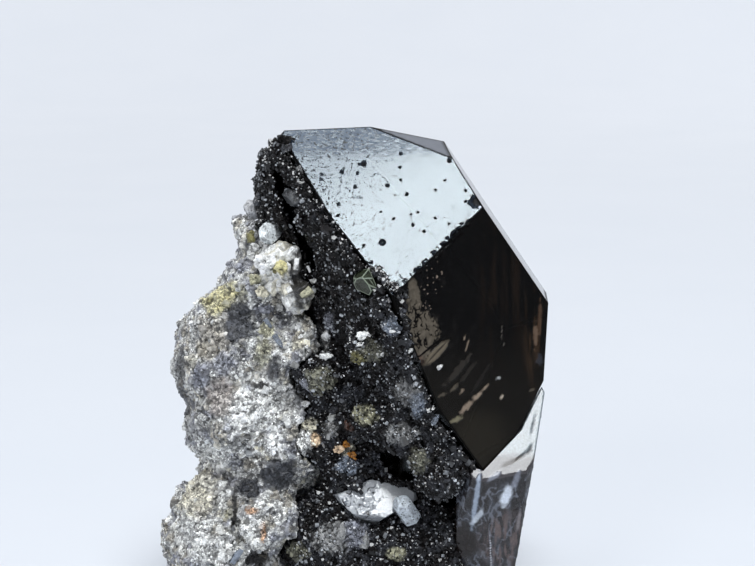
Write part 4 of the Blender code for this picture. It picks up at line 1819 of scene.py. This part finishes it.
DRUSE_NUGGETS = (
    Nugget(Form.LUMP, Mineral.CHALK, -2.2, -8.5, 1.20, 0.72),
    Nugget(Form.LUMP, Mineral.CHALK, -2.8, -9.9, 0.72, 0.48, 20),
    Nugget(Form.POINT, Mineral.MILK, 0.9, -11.2, 0.56, 0.32, 60, 0.8),
    Nugget(Form.POINT, Mineral.VIOLET, -11.4, -16.5, 1.36, 0.64, -55, 0.5),
    Nugget(Form.LUMP, Mineral.CHALK, -11.6, -19.4, 0.72, 0.48),
    Nugget(Form.LUMP, Mineral.MILK, -7.3, -21.4, 0.80, 0.96, 0, 0.5),
    Nugget(Form.POINT, Mineral.CHALK, 2.6, -7.7, 0.72, 0.32, 0, 0.9),
    Nugget(Form.LUMP, Mineral.CHALK, -8.1, -8.5, 0.72, 0.72),
    Nugget(Form.LUMP, Mineral.CHALK, -8.1, -11.7, 1.04, 0.48),
    Nugget(Form.LUMP, Mineral.CHALK, -12.1, -8.5, 0.64, 0.40),
    Nugget(Form.LUMP, Mineral.MILK, -11.6, -9.4, 0.40, 0.32),
    Nugget(Form.POINT, Mineral.MILK, 5.4, -10.7, 0.64, 0.40, 30, 0.7),
    Nugget(Form.POINT, Mineral.MILK, 10.0, -13.4, 0.56, 0.40, 30, 0.6),
    Nugget(Form.POINT, Mineral.CHALK, 8.6, -20.2, 0.72, 0.40, 20, 0.7),
    Nugget(Form.POINT, Mineral.STEEL, 9.4, -21.6, 1.12, 0.48, 60, 0.4),
    Nugget(Form.LUMP, Mineral.IRON, -5.4, -25.8, 0.96, 0.64, -20),
    Nugget(Form.LUMP, Mineral.IRON, -4.1, -27.7, 0.72, 0.80),
    Nugget(Form.LUMP, Mineral.PEACH, -6.3, -26.6, 0.96, 0.72),
    Nugget(Form.LUMP, Mineral.BROWN, -4.4, -22.9, 0.80, 0.96),
    Nugget(Form.POINT, Mineral.CHALK, -11.1, -29.9, 0.80, 0.32, 0, 0.9),
    Nugget(Form.POINT, Mineral.GREY, -5.7, -39.5, 1.44, 0.72, 80, 0.8),
    Nugget(Form.POINT, Mineral.GREY, -2.0, -41.0, 1.44, 0.72, 80, 0.8),
    Nugget(Form.BLOCK, Mineral.VIOLET, -14.5, 21.6, 1.20, 0.72, 25, 0.1),
    Nugget(Form.POINT, Mineral.GREY, -12.4, 18.1, 0.64, 0.40, -60, 0.5),
)

FELDSPAR_NUGGETS = (
    Nugget(Form.LUMP, Mineral.CHALK, -17.8, 3.4, 1.76, 1.36),
    Nugget(Form.LUMP, Mineral.CHALK, -15.0, 0.0, 1.44, 0.80),
    Nugget(Form.LUMP, Mineral.YELLOW, -15.4, 2.4, 1.04, 0.96),
    Nugget(Form.LUMP, Mineral.OLIVE, -16.4, 1.9, 0.40, 0.48),
    Nugget(Form.BLOCK, Mineral.CHALK, -13.0, 3.0, 1.20, 0.48, 85),
    Nugget(Form.BLOCK, Mineral.CHALK, -13.8, 5.1, 0.88, 0.40, 65),
    Nugget(Form.LUMP, Mineral.MILK, -20.2, 4.3, 0.72, 0.72, 0, 0.6),
    Nugget(Form.LUMP, Mineral.MILK, -19.6, 5.8, 0.56, 0.56, 0, 0.8),
    Nugget(Form.LUMP, Mineral.SAND, -19.6, 0.5, 0.96, 0.80),
    Nugget(Form.BLOCK, Mineral.MILK, -11.0, 2.1, 0.80, 0.32, 110),
    Nugget(Form.BLOCK, Mineral.MILK, -10.3, 0.3, 0.72, 0.48, 20),
    Nugget(Form.BLOCK, Mineral.SAND, -11.4, -1.6, 1.28, 0.80, 40),
    Nugget(Form.BLOCK, Mineral.MILK, -10.2, -1.1, 0.64, 0.48, 80),
    Nugget(Form.BLOCK, Mineral.MILK, -14.2, -1.1, 0.64, 0.56, 30),
    Nugget(Form.BLOCK, Mineral.MILK, -14.5, -3.0, 1.20, 0.48, -65),
    Nugget(Form.LUMP, Mineral.MILK, -15.8, -4.0, 0.72, 0.64, 0, 0.5),
    Nugget(Form.LUMP, Mineral.VIOLET, -17.7, -4.2, 0.96, 0.80, 0, 0.9),
    Nugget(Form.LUMP, Mineral.CREAM, -18.5, -1.4, 1.04, 0.88),
    Nugget(Form.LUMP, Mineral.OLIVE, -20.4, 7.4, 0.80, 1.04, 0, 0.9),
    Nugget(Form.LUMP, Mineral.SLATE, -19.0, 13.4, 0.72, 0.96, 0, 0.6),
)

MATRIX_NUGGETS = (
    Nugget(Form.BLOCK, Mineral.STEEL, -22.6, -43.7, 1.68, 0.64, 60, 0.8),
    Nugget(Form.BLOCK, Mineral.SLATE, -21.2, -33.0, 0.96, 0.64, 20, 0.6),
    Nugget(Form.BLOCK, Mineral.SLATE, -20.1, -34.1, 0.96, 0.56, -30, 0.6),
    Nugget(Form.BLOCK, Mineral.SLATE, -16.2, -29.4, 1.20, 0.80, 30, 0.6),
    Nugget(Form.BLOCK, Mineral.SLATE, -14.5, -30.7, 1.12, 0.72, -20, 0.6),
    Nugget(Form.POINT, Mineral.STEEL, -17.4, -6.7, 1.12, 0.40, -60, 0.6),
    Nugget(Form.POINT, Mineral.STEEL, -15.8, -9.4, 1.36, 0.48, -58, 0.5),
)


@dataclass
class FeldsparCluster:
    """White feldspar blocks with yellow crystals among them."""

    voxel: float = 0.16
    colouring: Colouring = field(
        default_factory=lambda: Colouring(
            (Mineral.CHALK, Mineral.MILK, Mineral.CREAM),
            (
                Patch(Mineral.YELLOW, -15.5, 2.4, 1.2, 1.1, 0.8),
                Patch(Mineral.SAND, -19.6, 0.5, 1.2, 1.0, 0.8),
                # Painted shade: a near-black patch where the feldspar lies in the shaded valley beside the
                # druse.
                Patch(Mineral.NIGHT, -12.0, 0.6, 2.3, 5.4, 0.95),
                Patch(Mineral.SLATE, -18.6, 3.4, 0.7, 1.2, 0.8),
            ),
            2.0,
        )
    )

    def build(self) -> None:
        """Builds the cluster on its CAD shape, and the grains on it."""
        piece = object_from("feldspar_blocks", node_shape("feldspar_cluster"))
        voxel_remeshed(piece, self.voxel, 2)
        places, normals = mesh_arrays(piece.data)
        points = all_shown(places)
        heights = 0.12 * cloud(points, 0.9) + 0.18 * facets(points, 1.2)
        set_places(piece.data, places + normals * (heights * MM)[:, None])
        colours = self.colouring.at(places, tree_of([piece]))
        # Painted shade: the feldspar is darkened where its surface lies low.
        paint(piece.data, colours * (1 - 0.7 * smooth_step(-0.05, -0.3, heights))[:, None])
        piece.data.shade_smooth()
        finish = GrainFinish(
            "feldspar", 0.35, uneven=0.2, cell=0.9, contrast=0.15, gap_shade=0.3, mottle=0.2
        )
        dress(piece, finish.material(), "feldspar", "feldspar_cluster")
        tree = tree_of([piece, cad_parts["quartz_druse"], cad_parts["matrix_rock"]])
        add_nuggets("feldspar_grains", FELDSPAR_NUGGETS, 0.25, tree, "feldspar", "feldspar_cluster", 21)


MATRIX_COLOURS = Colouring(
    (
        Mineral.GREY,
        Mineral.CREAM,
        Mineral.SLATE,
        Mineral.CHALK,
        Mineral.TAN,
        Mineral.VIOLET,
        Mineral.MILK,
    ),
    (
        Patch(Mineral.YELLOW, -25.5, -2.3, 3.6, 2.8, 0.8, 0.5),
        Patch(Mineral.OLIVE, -21.6, -1.8, 1.0, 2.0, 0.6),
        Patch(Mineral.TAN, -26.2, -9.2, 3.4, 3.6, 0.8),
        Patch(Mineral.MILK, -29.2, -7.4, 1.3, 2.4, 0.5, 0.3),
        Patch(Mineral.CREAM, -29.8, -12.6, 1.1, 1.6, 0.6, 0.3),
        Patch(Mineral.VIOLET, -28.2, -14.9, 1.5, 2.4, 0.9, 0.6),
        Patch(Mineral.VIOLET, -25.0, -13.0, 1.6, 2.2, 0.8, 0.5),
        Patch(Mineral.SLATE, -22.2, -6.4, 2.8, 4.0, 0.95),
        Patch(Mineral.SAND, -17.8, -7.2, 1.2, 1.8, 0.85, 0.4),
        Patch(Mineral.SAND, -18.3, -11.3, 1.3, 3.0, 0.7),
        Patch(Mineral.SLATE, -16.6, -14.0, 1.3, 2.0, 0.85),
        Patch(Mineral.SLATE, -30.8, -18.7, 2.4, 3.6, 0.6),
        Patch(Mineral.SLATE, -31.6, -14.5, 1.0, 5.0, 0.7),
        Patch(Mineral.CHALK, -20.0, -20.4, 5.4, 3.6, 0.95),
        Patch(Mineral.CHALK, -22.0, -19.0, 2.4, 1.6, 1.0, 0.5),
        Patch(Mineral.GREY, -14.0, -18.4, 2.8, 2.2, 0.8),
        Patch(Mineral.CHALK, -14.2, -21.8, 1.4, 0.8, 0.95, 0.4),
        Patch(Mineral.PINK, -25.2, -18.2, 2.6, 3.2, 0.8),
        # Painted shade: a near-black patch in a thin crack.
        Patch(Mineral.NIGHT, -18.7, -16.4, 2.2, 0.4, 0.9, -0.5),
        Patch(Mineral.GREY, -30.0, -23.5, 2.5, 2.2, 0.7),
        Patch(Mineral.CHALK, -16.8, -26.0, 2.2, 1.7, 0.85, 0.5),
        Patch(Mineral.CHALK, -12.4, -25.6, 1.9, 2.0, 0.95, 0.7),
        Patch(Mineral.CHALK, -26.8, -27.5, 4.2, 2.8, 0.8),
        Patch(Mineral.CREAM, -28.6, -31.6, 3.4, 2.4, 0.6),
        Patch(Mineral.SLATE, -15.8, -30.6, 3.4, 2.9, 0.95),
        Patch(Mineral.CREAM, -30.0, -35.0, 3.6, 3.4, 0.8, 0.4),
        Patch(Mineral.MILK, -30.0, -39.5, 3.8, 3.0, 0.8),
        Patch(Mineral.MILK, -26.4, -42.7, 4.6, 3.0, 0.85),
        Patch(Mineral.BROWN, -28.6, -37.0, 0.6, 1.6, 0.4),
        Patch(Mineral.OLIVE, -24.0, -37.0, 0.9, 0.9, 0.6),
        Patch(Mineral.SLATE, -20.8, -33.0, 2.2, 2.0, 0.9),
        Patch(Mineral.CHALK, -20.4, -38.9, 2.1, 3.1, 0.8, 0.9),
        Patch(Mineral.IRON, -20.2, -36.5, 1.3, 0.55, 0.7),
        Patch(Mineral.IRON, -18.3, -39.8, 0.5, 1.9, 0.5),
        # Painted shade: near-black patches in a thin crack and a hollow.
        Patch(Mineral.NIGHT, -22.9, -36.3, 0.5, 4.2, 0.95, -0.5),
        Patch(Mineral.NIGHT, -19.6, -43.7, 2.4, 1.9, 0.95, -0.6),
    ),
    2.6,
)

DRUSE_COLOURS = Colouring(
    (Mineral.NIGHT, Mineral.SLATE),
    (
        # Partly painted shade: the druse's own near-black, laid on pure where the crust lies in shade at
        # the upper left and beside the morion.
        Patch(Mineral.NIGHT, -15.0, 8.0, 6.0, 16.0, 0.95),
        Patch(Mineral.NIGHT, -8.0, 0.0, 7.0, 8.0, 0.9),
        Patch(Mineral.BROWN, -13.4, 1.0, 1.6, 6.0, 0.2),
        Patch(Mineral.GREY, -13.1, 12.8, 1.1, 2.7, 0.9, 0.6),
        Patch(Mineral.MOSS, -1.0, -11.0, 2.2, 1.8, 0.5, 0.7),
        Patch(Mineral.OLIVE, -3.3, -12.2, 1.4, 1.1, 0.7, 0.5),
        Patch(Mineral.MOSS, -9.2, -15.4, 2.6, 2.5, 0.85, 0.9),
        Patch(Mineral.SAND, -2.0, -21.1, 1.9, 1.8, 0.85, 0.7),
        Patch(Mineral.STEEL, 2.0, -7.0, 1.7, 1.4, 0.6, 0.5),
        Patch(Mineral.VIOLET, -7.8, -6.4, 0.9, 1.8, 0.7, 0.4),
        Patch(Mineral.GREY, 4.6, -17.6, 2.6, 2.4, 0.5, 0.5),
        Patch(Mineral.STEEL, 6.5, -19.8, 1.1, 2.4, 0.65, 0.5),
        Patch(Mineral.GREY, 3.6, -24.3, 2.8, 1.9, 0.7, 0.6),
        Patch(Mineral.MOSS, 6.4, -28.6, 1.6, 2.0, 0.75, 0.6),
        Patch(Mineral.GREY, -7.6, -23.5, 1.4, 1.4, 0.7, 0.5),
        Patch(Mineral.GREY, -8.8, -9.4, 1.8, 2.4, 0.8),
        Patch(Mineral.CREAM, -4.7, -26.6, 1.2, 1.0, 0.9, 0.3),
        Patch(Mineral.SLATE, -4.4, -17.9, 2.0, 2.0, 0.6),
        Patch(Mineral.BROWN, -4.6, -23.0, 1.0, 1.0, 0.7),
        Patch(Mineral.CREAM, -11.0, -22.8, 1.4, 1.2, 0.9, 0.4),
        Patch(Mineral.PEACH, -10.0, -25.2, 0.9, 1.4, 0.9, 0.4),
        Patch(Mineral.MILK, -12.2, -25.4, 1.9, 2.0, 0.95, 0.5),
        Patch(Mineral.STEEL, -4.8, -29.4, 2.0, 1.4, 0.75, 0.6),
        Patch(Mineral.SLATE, 1.4, -29.0, 3.6, 2.0, 0.9),
        Patch(Mineral.GREY, -7.4, -40.8, 3.4, 2.6, 0.8, 0.4),
        Patch(Mineral.VIOLET, -3.2, -40.4, 2.4, 2.6, 0.7, 0.4),
        Patch(Mineral.SAND, 2.8, -43.4, 1.6, 1.2, 0.6, 0.5),
        Patch(Mineral.MOSS, -12.9, -43.0, 2.0, 1.6, 0.8, 0.5),
    ),
    2.6,
    share=0.35,
    seed=4.0,
)

DARK_RIM = (
    (3.9, -1.4),
    (4.4, -6.0),
    (5.0, -10.0),
    (6.8, -14.6),
    (8.0, -19.0),
    (8.9, -24.0),
    (11.5, -29.0),
    (13.6, -31.5),
)


@dataclass
class MatrixRock:
    """The pale rock, its grains and its stains."""

    voxel: float = 0.37
    grains_in_each: int = 6500
    log_sizes: tuple[float, ...] = (-1.35, -1.8)
    shades: tuple[float, ...] = (0.25, 0.65, 0.95, 1.1, 1.35)
    shade_odds: tuple[float, ...] = (0.11, 0.18, 0.32, 0.25, 0.14)

    def build(self) -> bpy.types.Object:
        """Builds the rock's body and its grains.

        Returns:
            The rock's body.
        """
        body = object_from("matrix_body", node_shape("matrix_rock"))
        voxel_remeshed(body, self.voxel, 3)
        places, normals = mesh_arrays(body.data)
        points = all_shown(places)
        swell = MATRIX_COLOURS.swell(points, tree_of([body]))
        small = facets(points, 0.7, 3.0)
        heights = 0.34 * cloud(points, 1.4, 2.0) + 0.2 * facets(points, 1.3) + 0.14 * small
        grown = heights + 0.5 * cloud(points, 3.6) + swell
        set_places(body.data, places + normals * ((grown - 0.15) * MM)[:, None])
        tree = tree_of([body])
        colours = MATRIX_COLOURS.at(places, tree)
        # Painted shade: the rock is darkened where it lies low, and is lighter where its small facets stand
        # high and darker where they lie low.
        crease_shade = smooth_step(-0.05, -0.45, heights)
        own = 1 + 0.4 * np.clip(small, -1, 1)
        paint(body.data, colours * ((1 - 0.75 * crease_shade) * own)[:, None])
        body.data.shade_smooth()
        finish = GrainFinish(
            "rock_body", 0.55, uneven=0.5, cell=0.42, contrast=0.6, gap_shade=0.8, mottle=0.4
        )
        dress(body, finish.material(), "matrix", "matrix_rock")
        others = tree_of([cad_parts["morion_crystal"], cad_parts["quartz_druse"]])
        for k, log_size in enumerate(self.log_sizes):
            self.scatter(f"matrix_grains_{k + 1}", body, tree, others, log_size, 30 + k)
        front = tree_of([body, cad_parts["quartz_druse"]])
        add_nuggets("matrix_crystals", MATRIX_NUGGETS, 0.2, front, "matrix", "matrix_rock", 5)
        return body

    def scatter(
        self, name: str, body: bpy.types.Object, tree: BVHTree, others: BVHTree, log_size: float, seed: int
    ) -> None:
        """Sets angular grains on the rock.

        Args:
            name: the piece's name.
            body: the rock's body.
            tree: its faces.
            others: what must not lie close in front of a grain.
            log_size: the natural logarithm of a usual grain's half size in millimetres.
            seed: starts the draws.
        """
        rng = np.random.default_rng(seed)
        grains = Scatter([grain(rng, 4) for _ in range(6)])
        count = self.grains_in_each
        for place, normal in open_places(body, others, count, 2 * count, rng):
            size = float(rng.lognormal(log_size, 0.4))
            turn = Euler(rng.uniform(0, math.tau, 3)).to_matrix()
            shade = float(rng.choice(self.shades, p=self.shade_odds))
            # Painted glints: a few grains go halfway over to a bluish white.
            pale = float(rng.choice([0.0, 0.5], p=[0.96, 0.04]))
            sunk = place - normal * 0.3 * size * MM
            grains.put(sunk, turn, size * rng.uniform(0.55, 1.1, 3), shade, pale)
        piece = grains.joined(name, MATRIX_COLOURS, tree).piece(0.3, 0.2)
        finish = GrainFinish(
            name, 0.35, uneven=0.5, cell=0.9, contrast=0.35, gap_shade=0.3, mottle=0.25, relief=0.03
        )
        dress(piece, finish.material(), "matrix", "matrix_rock")


@dataclass
class QuartzDruse:
    """The dark druse: a rough crust with thousands of small glassy points."""

    voxel: float = 0.305
    fine_points: int = 8500
    coarse_points: int = 1800
    glints: int = 4200
    rim_points: int = 420
    # Each tone is a brightness, which varies at random, and a paleness, which is a painted glint.
    tones: tuple[tuple[float, float], ...] = ((0.4, 0.0), (1.0, 0.0), (1.6, 0.02), (1.0, 0.12))
    tone_odds: tuple[float, ...] = (0.42, 0.36, 0.15, 0.07)

    def build(self, rock: bpy.types.Object) -> None:
        """Builds the crust, its points and its larger grains.

        Args:
            rock: the matrix rock's body, which hides some of the crust.
        """
        crust = object_from("druse_crust", node_shape("quartz_druse"))
        voxel_remeshed(crust, self.voxel, 1)
        places, normals = mesh_arrays(crust.data)
        points = all_shown(places)
        swell = DRUSE_COLOURS.swell(points, tree_of([crust]))
        heights = 0.26 * cloud(points, 1.6, 8.0) + 0.3 * facets(points, 1.0, 5.0)
        heights = heights + 0.16 * facets(points, 0.55)
        set_places(crust.data, places + normals * ((heights + swell - 0.1) * MM)[:, None])
        tree = tree_of([crust])
        # Painted shade: the crust is darkened where it lies low, in its folds and cracks.
        crease_shade = smooth_step(0.0, -0.4, heights)
        paint(crust.data, DRUSE_COLOURS.at(places, tree) * (1 - 0.7 * crease_shade)[:, None])
        crust.data.shade_flat()
        grains = {"uneven": 0.2, "cell": 0.4, "contrast": 0.8, "gap_shade": 0.6, "mottle": 0.5}
        finish = GrainFinish("druse_body", 0.14, relief=0.04, specular=0.2, **grains)
        dress(crust, finish.material(), "druse", "quartz_druse")
        others = tree_of([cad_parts["morion_crystal"], rock])
        half = self.fine_points // 2
        for name, count, log_size, seed in (
            ("druse_fine_points_11", half, -1.5, 11),
            ("druse_fine_points_15", half, -1.5, 15),
            ("druse_coarse_points", self.coarse_points, -0.75, 12),
        ):
            self.scatter(name, crust, tree, others, count, log_size, seed)
        self.glint(crust, tree, others)
        self.fringe(tree)
        seen = tree_of([crust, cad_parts["morion_crystal"], rock])
        add_nuggets("druse_grains", DRUSE_NUGGETS, 0.16, seen, "druse", "quartz_druse", 8)

    def scatter(
        self,
        name: str,
        crust: bpy.types.Object,
        tree: BVHTree,
        others: BVHTree,
        count: int,
        log_size: float,
        seed: int,
    ) -> None:
        """Sets quartz points on the crust, many of them parallel to the morion.

        Args:
            name: the piece's name.
            crust: the druse's crust.
            tree: its faces.
            others: what must not lie close in front of a point.
            count: how many points.
            log_size: the natural logarithm of a usual point's size in millimetres.
            seed: starts the draws.
        """
        rng = np.random.default_rng(seed)
        shapes = ((0.3, 1.0), (0.7, 0.8), (0.1, 0.9), (0.9, 1.0))
        points = Scatter([quartz_point(0.5, 2.0, u, s) for u, s in shapes])
        for place, normal in open_places(crust, others, count, 3 * count, rng):
            size = float(rng.lognormal(log_size, 0.35))
            sunk = place - normal * 0.35 * size * MM
            points.put(sunk, self.turn(rng), (size, size, size), *self.tone(rng))
        self.finished(points.joined(name, DRUSE_COLOURS, tree))

    def turn(self, rng: np.random.Generator) -> Matrix:
        """A point's rotation, in nearly half the cases almost the morion's own."""
        spread = 0.06 if rng.random() < 0.45 else 0.6
        return Euler(rng.normal(0, spread, 3)).to_matrix() @ MORION_TURN

    def tone(self, rng: np.random.Generator) -> tuple[float, float]:
        """A point's brightness, and its paleness, which is a painted glint."""
        return self.tones[rng.choice(len(self.tones), p=self.tone_odds)]

    def finished(self, points: Joined) -> None:
        """Makes the piece of one kind of point.

        Args:
            points: the joined points.
        """
        grains = {"uneven": 0.06, "cell": 0.9, "contrast": 0.3, "gap_shade": 0.2, "mottle": 0.2}
        finish = GrainFinish(points.name, 0.05, relief=0.004, specular=0.35, **grains)
        dress(points.piece(0.05, 0.0), finish.material(), "druse", "quartz_druse")

    def glint(self, crust: bpy.types.Object, tree: BVHTree, others: BVHTree) -> None:
        """Sets tiny grains all over the crust, most of them painted pale as glints.

        Args:
            crust: the druse's crust.
            tree: its faces.
            others: what must not lie close in front of a grain.
        """
        rng = np.random.default_rng(13)
        grains = Scatter([grain(rng, 2) for _ in range(5)])
        for place, normal in open_places(crust, others, self.glints, 2 * self.glints, rng):
            size = float(rng.lognormal(-2.35, 0.4))
            shape = size * rng.uniform(0.5, 1.4, 3)
            turn = Euler(rng.uniform(0, math.tau, 3)).to_matrix()
            # Painted glints: each tiny grain goes part of the way over to a bluish white.
            grains.put(place + normal * 0.14 * MM, turn, shape, 1.0, 0.9 * float(rng.random()) ** 1.4)
        self.finished(grains.joined("druse_glints", DRUSE_COLOURS, tree))

    def fringe(self, tree: BVHTree) -> None:
        """Sets points along the ragged rims where the druse climbs onto the morion.

        Args:
            tree: the crust's faces, which the points take their colours from.
        """
        rng = np.random.default_rng(14)
        morion = tree_of([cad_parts["morion_crystal"]])
        points = Scatter([quartz_point(0.5, 2.0, u, 0.9) for u in (0.2, 0.5, 0.8)])
        for route, count in ((DRUSE_RIM, 2 * self.rim_points), (DARK_RIM, self.rim_points)):
            corners = np.array(route)
            for _ in range(count):
                k = rng.integers(len(corners) - 1)
                spot = corners[k] + (corners[k + 1] - corners[k]) * rng.random() + rng.normal(0, 0.35, 2)
                place = sighted(morion, float(spot[0]) - 0.15, float(spot[1]) - 0.1)
                size = float(rng.lognormal(-1.3, 0.35))
                points.put(display(*place), self.turn(rng), (size, size, size), *self.tone(rng))
        self.finished(points.joined("druse_fringe", DRUSE_COLOURS, tree))


@dataclass(frozen=True)
class Softbox:
    """A square soft light that looks at a place."""

    name: str
    place: tuple[float, float, float]
    target: tuple[float, float, float]
    side: float
    radiance: float
    tint: Colour = (1.0, 1.0, 1.0)

    def build(self) -> None:
        """Adds the light."""
        data = bpy.data.lights.new(self.name, "AREA")
        data.shape = "SQUARE"
        data.size = self.side
        data.energy = self.radiance * math.pi * self.side**2
        data.color = self.tint
        light = bpy.data.objects.new(self.name, data)
        bpy.context.scene.collection.objects.link(light)
        light.visible_camera = False
        light.location = self.place
        aim = Vector(self.target) - Vector(self.place)
        light.rotation_euler = aim.to_track_quat("-Z", "Y").to_euler()


@dataclass
class Studio:
    """The camera, the lights and the pale floor."""

    floor_radius: float = 0.9
    rim_radius: float = 0.55
    rim_turn: float = math.radians(60)
    rim_steps: int = 16
    world_strength: float = 0.28
    key: tuple[float, float, float] = (0.12, 0.80, 0.60)

    def build(self) -> None:
        """Sets everything up."""
        centre = tuple(VIEW_CENTRE)
        key = VIEW_CENTRE + toward(*self.key)
        sky = VIEW_CENTRE + toward(-0.05, 0.95, 0.32) * 1.1
        fill = VIEW_CENTRE + toward(-0.45, 0.25, 0.86) * 1.0
        rear = VIEW_CENTRE + Vector((0.3, 1.45, 0.62))
        for light in (
            Softbox("key", tuple(key), centre, 0.36, 16.0, (0.95, 0.98, 1.0)),
            Softbox("sky", tuple(sky), centre, 0.7, 2.0, (0.86, 0.92, 1.0)),
            Softbox("fill", tuple(fill), centre, 0.3, 5.0),
            Softbox("rear", tuple(rear), centre, 0.6, 1.2),
            Softbox("left_rear", (-1.15, 0.95, 1.0), (0.0, 1.2, 0.1), 0.5, 14.0),
            Softbox("right_rear", (1.15, 0.95, 1.0), (0.0, 1.2, 0.1), 0.5, 14.0),
        ):
            light.build()
        self.camera()
        self.floor()
        self.world()

    def camera(self) -> None:
        """The photograph's view."""
        data = bpy.data.cameras.new("view")
        data.sensor_width = SENSOR_MM
        data.lens = FOCAL_PIXELS * SENSOR_MM / IMAGE_WIDTH
        data.clip_start = 0.01
        data.clip_end = 20.0
        camera = bpy.data.objects.new("view", data)
        bpy.context.scene.collection.objects.link(camera)
        back = toward(0, 0, 1)
        camera.location = VIEW_CENTRE + back * VIEW_DISTANCE * MM
        camera.rotation_euler = (-back).to_track_quat("-Z", "Y").to_euler()
        bpy.context.scene.camera = camera

    def floor(self) -> None:
        """A wide pale floor that curves up at its rim, far from the specimen."""
        bm = bmesh.new()
        first = bm.verts.new((0, 0, 0))
        profile = [first, bm.verts.new((self.floor_radius, 0, 0))]
        for k in range(1, self.rim_steps + 1):
            turn = self.rim_turn * k / self.rim_steps
            x = self.floor_radius + self.rim_radius * math.sin(turn)
            profile.append(bm.verts.new((x, 0, self.rim_radius * (1 - math.cos(turn)))))
        edges = [bm.edges.new(pair) for pair in zip(profile, profile[1:])]
        bmesh.ops.spin(
            bm,
            geom=profile + edges,
            axis=(0, 0, 1),
            cent=(0, 0, 0),
            steps=96,
            angle=math.tau,
            use_merge=True,
        )
        bmesh.ops.remove_doubles(bm, verts=bm.verts[:], dist=0.01 * MM)
        bmesh.ops.recalc_face_normals(bm, faces=bm.faces[:])
        floor = object_from("floor", bm)
        floor.data.shade_smooth()
        graph = Graph("pale_floor")
        mix = {0: graph.noise(60.0, 2.0), 6: (0.62, 0.65, 0.70, 1.0), 7: (0.65, 0.675, 0.72, 1.0)}
        colour = graph.add("ShaderNodeMix", {"data_type": "RGBA"}, mix).outputs[2]
        surface = graph.principled({"Base Color": colour, "Roughness": 0.9})
        floor.data.materials.append(graph.finish(surface))

    def world(self) -> None:
        """A dim, even surrounding."""
        world = bpy.data.worlds.new("surrounding")
        world.use_nodes = True
        back = world.node_tree.nodes["Background"]
        back.inputs["Color"].default_value = (0.92, 0.95, 1.0, 1.0)
        back.inputs["Strength"].default_value = self.world_strength
        bpy.context.scene.world = world


def main() -> None:
    """Builds the studio and every piece of the specimen."""
    logging.basicConfig(level=logging.INFO, format="%(name)s: %(message)s")
    bpy.context.scene.view_settings.view_transform = "Standard"
    Studio().build()
    rock = MatrixRock().build()
    QuartzDruse().build(rock)
    MorionCrystal().build()
    SmokyFoot().build()
    build_small_crystals()
    FeldsparCluster().build()


if __name__ == "__main__":
    main()
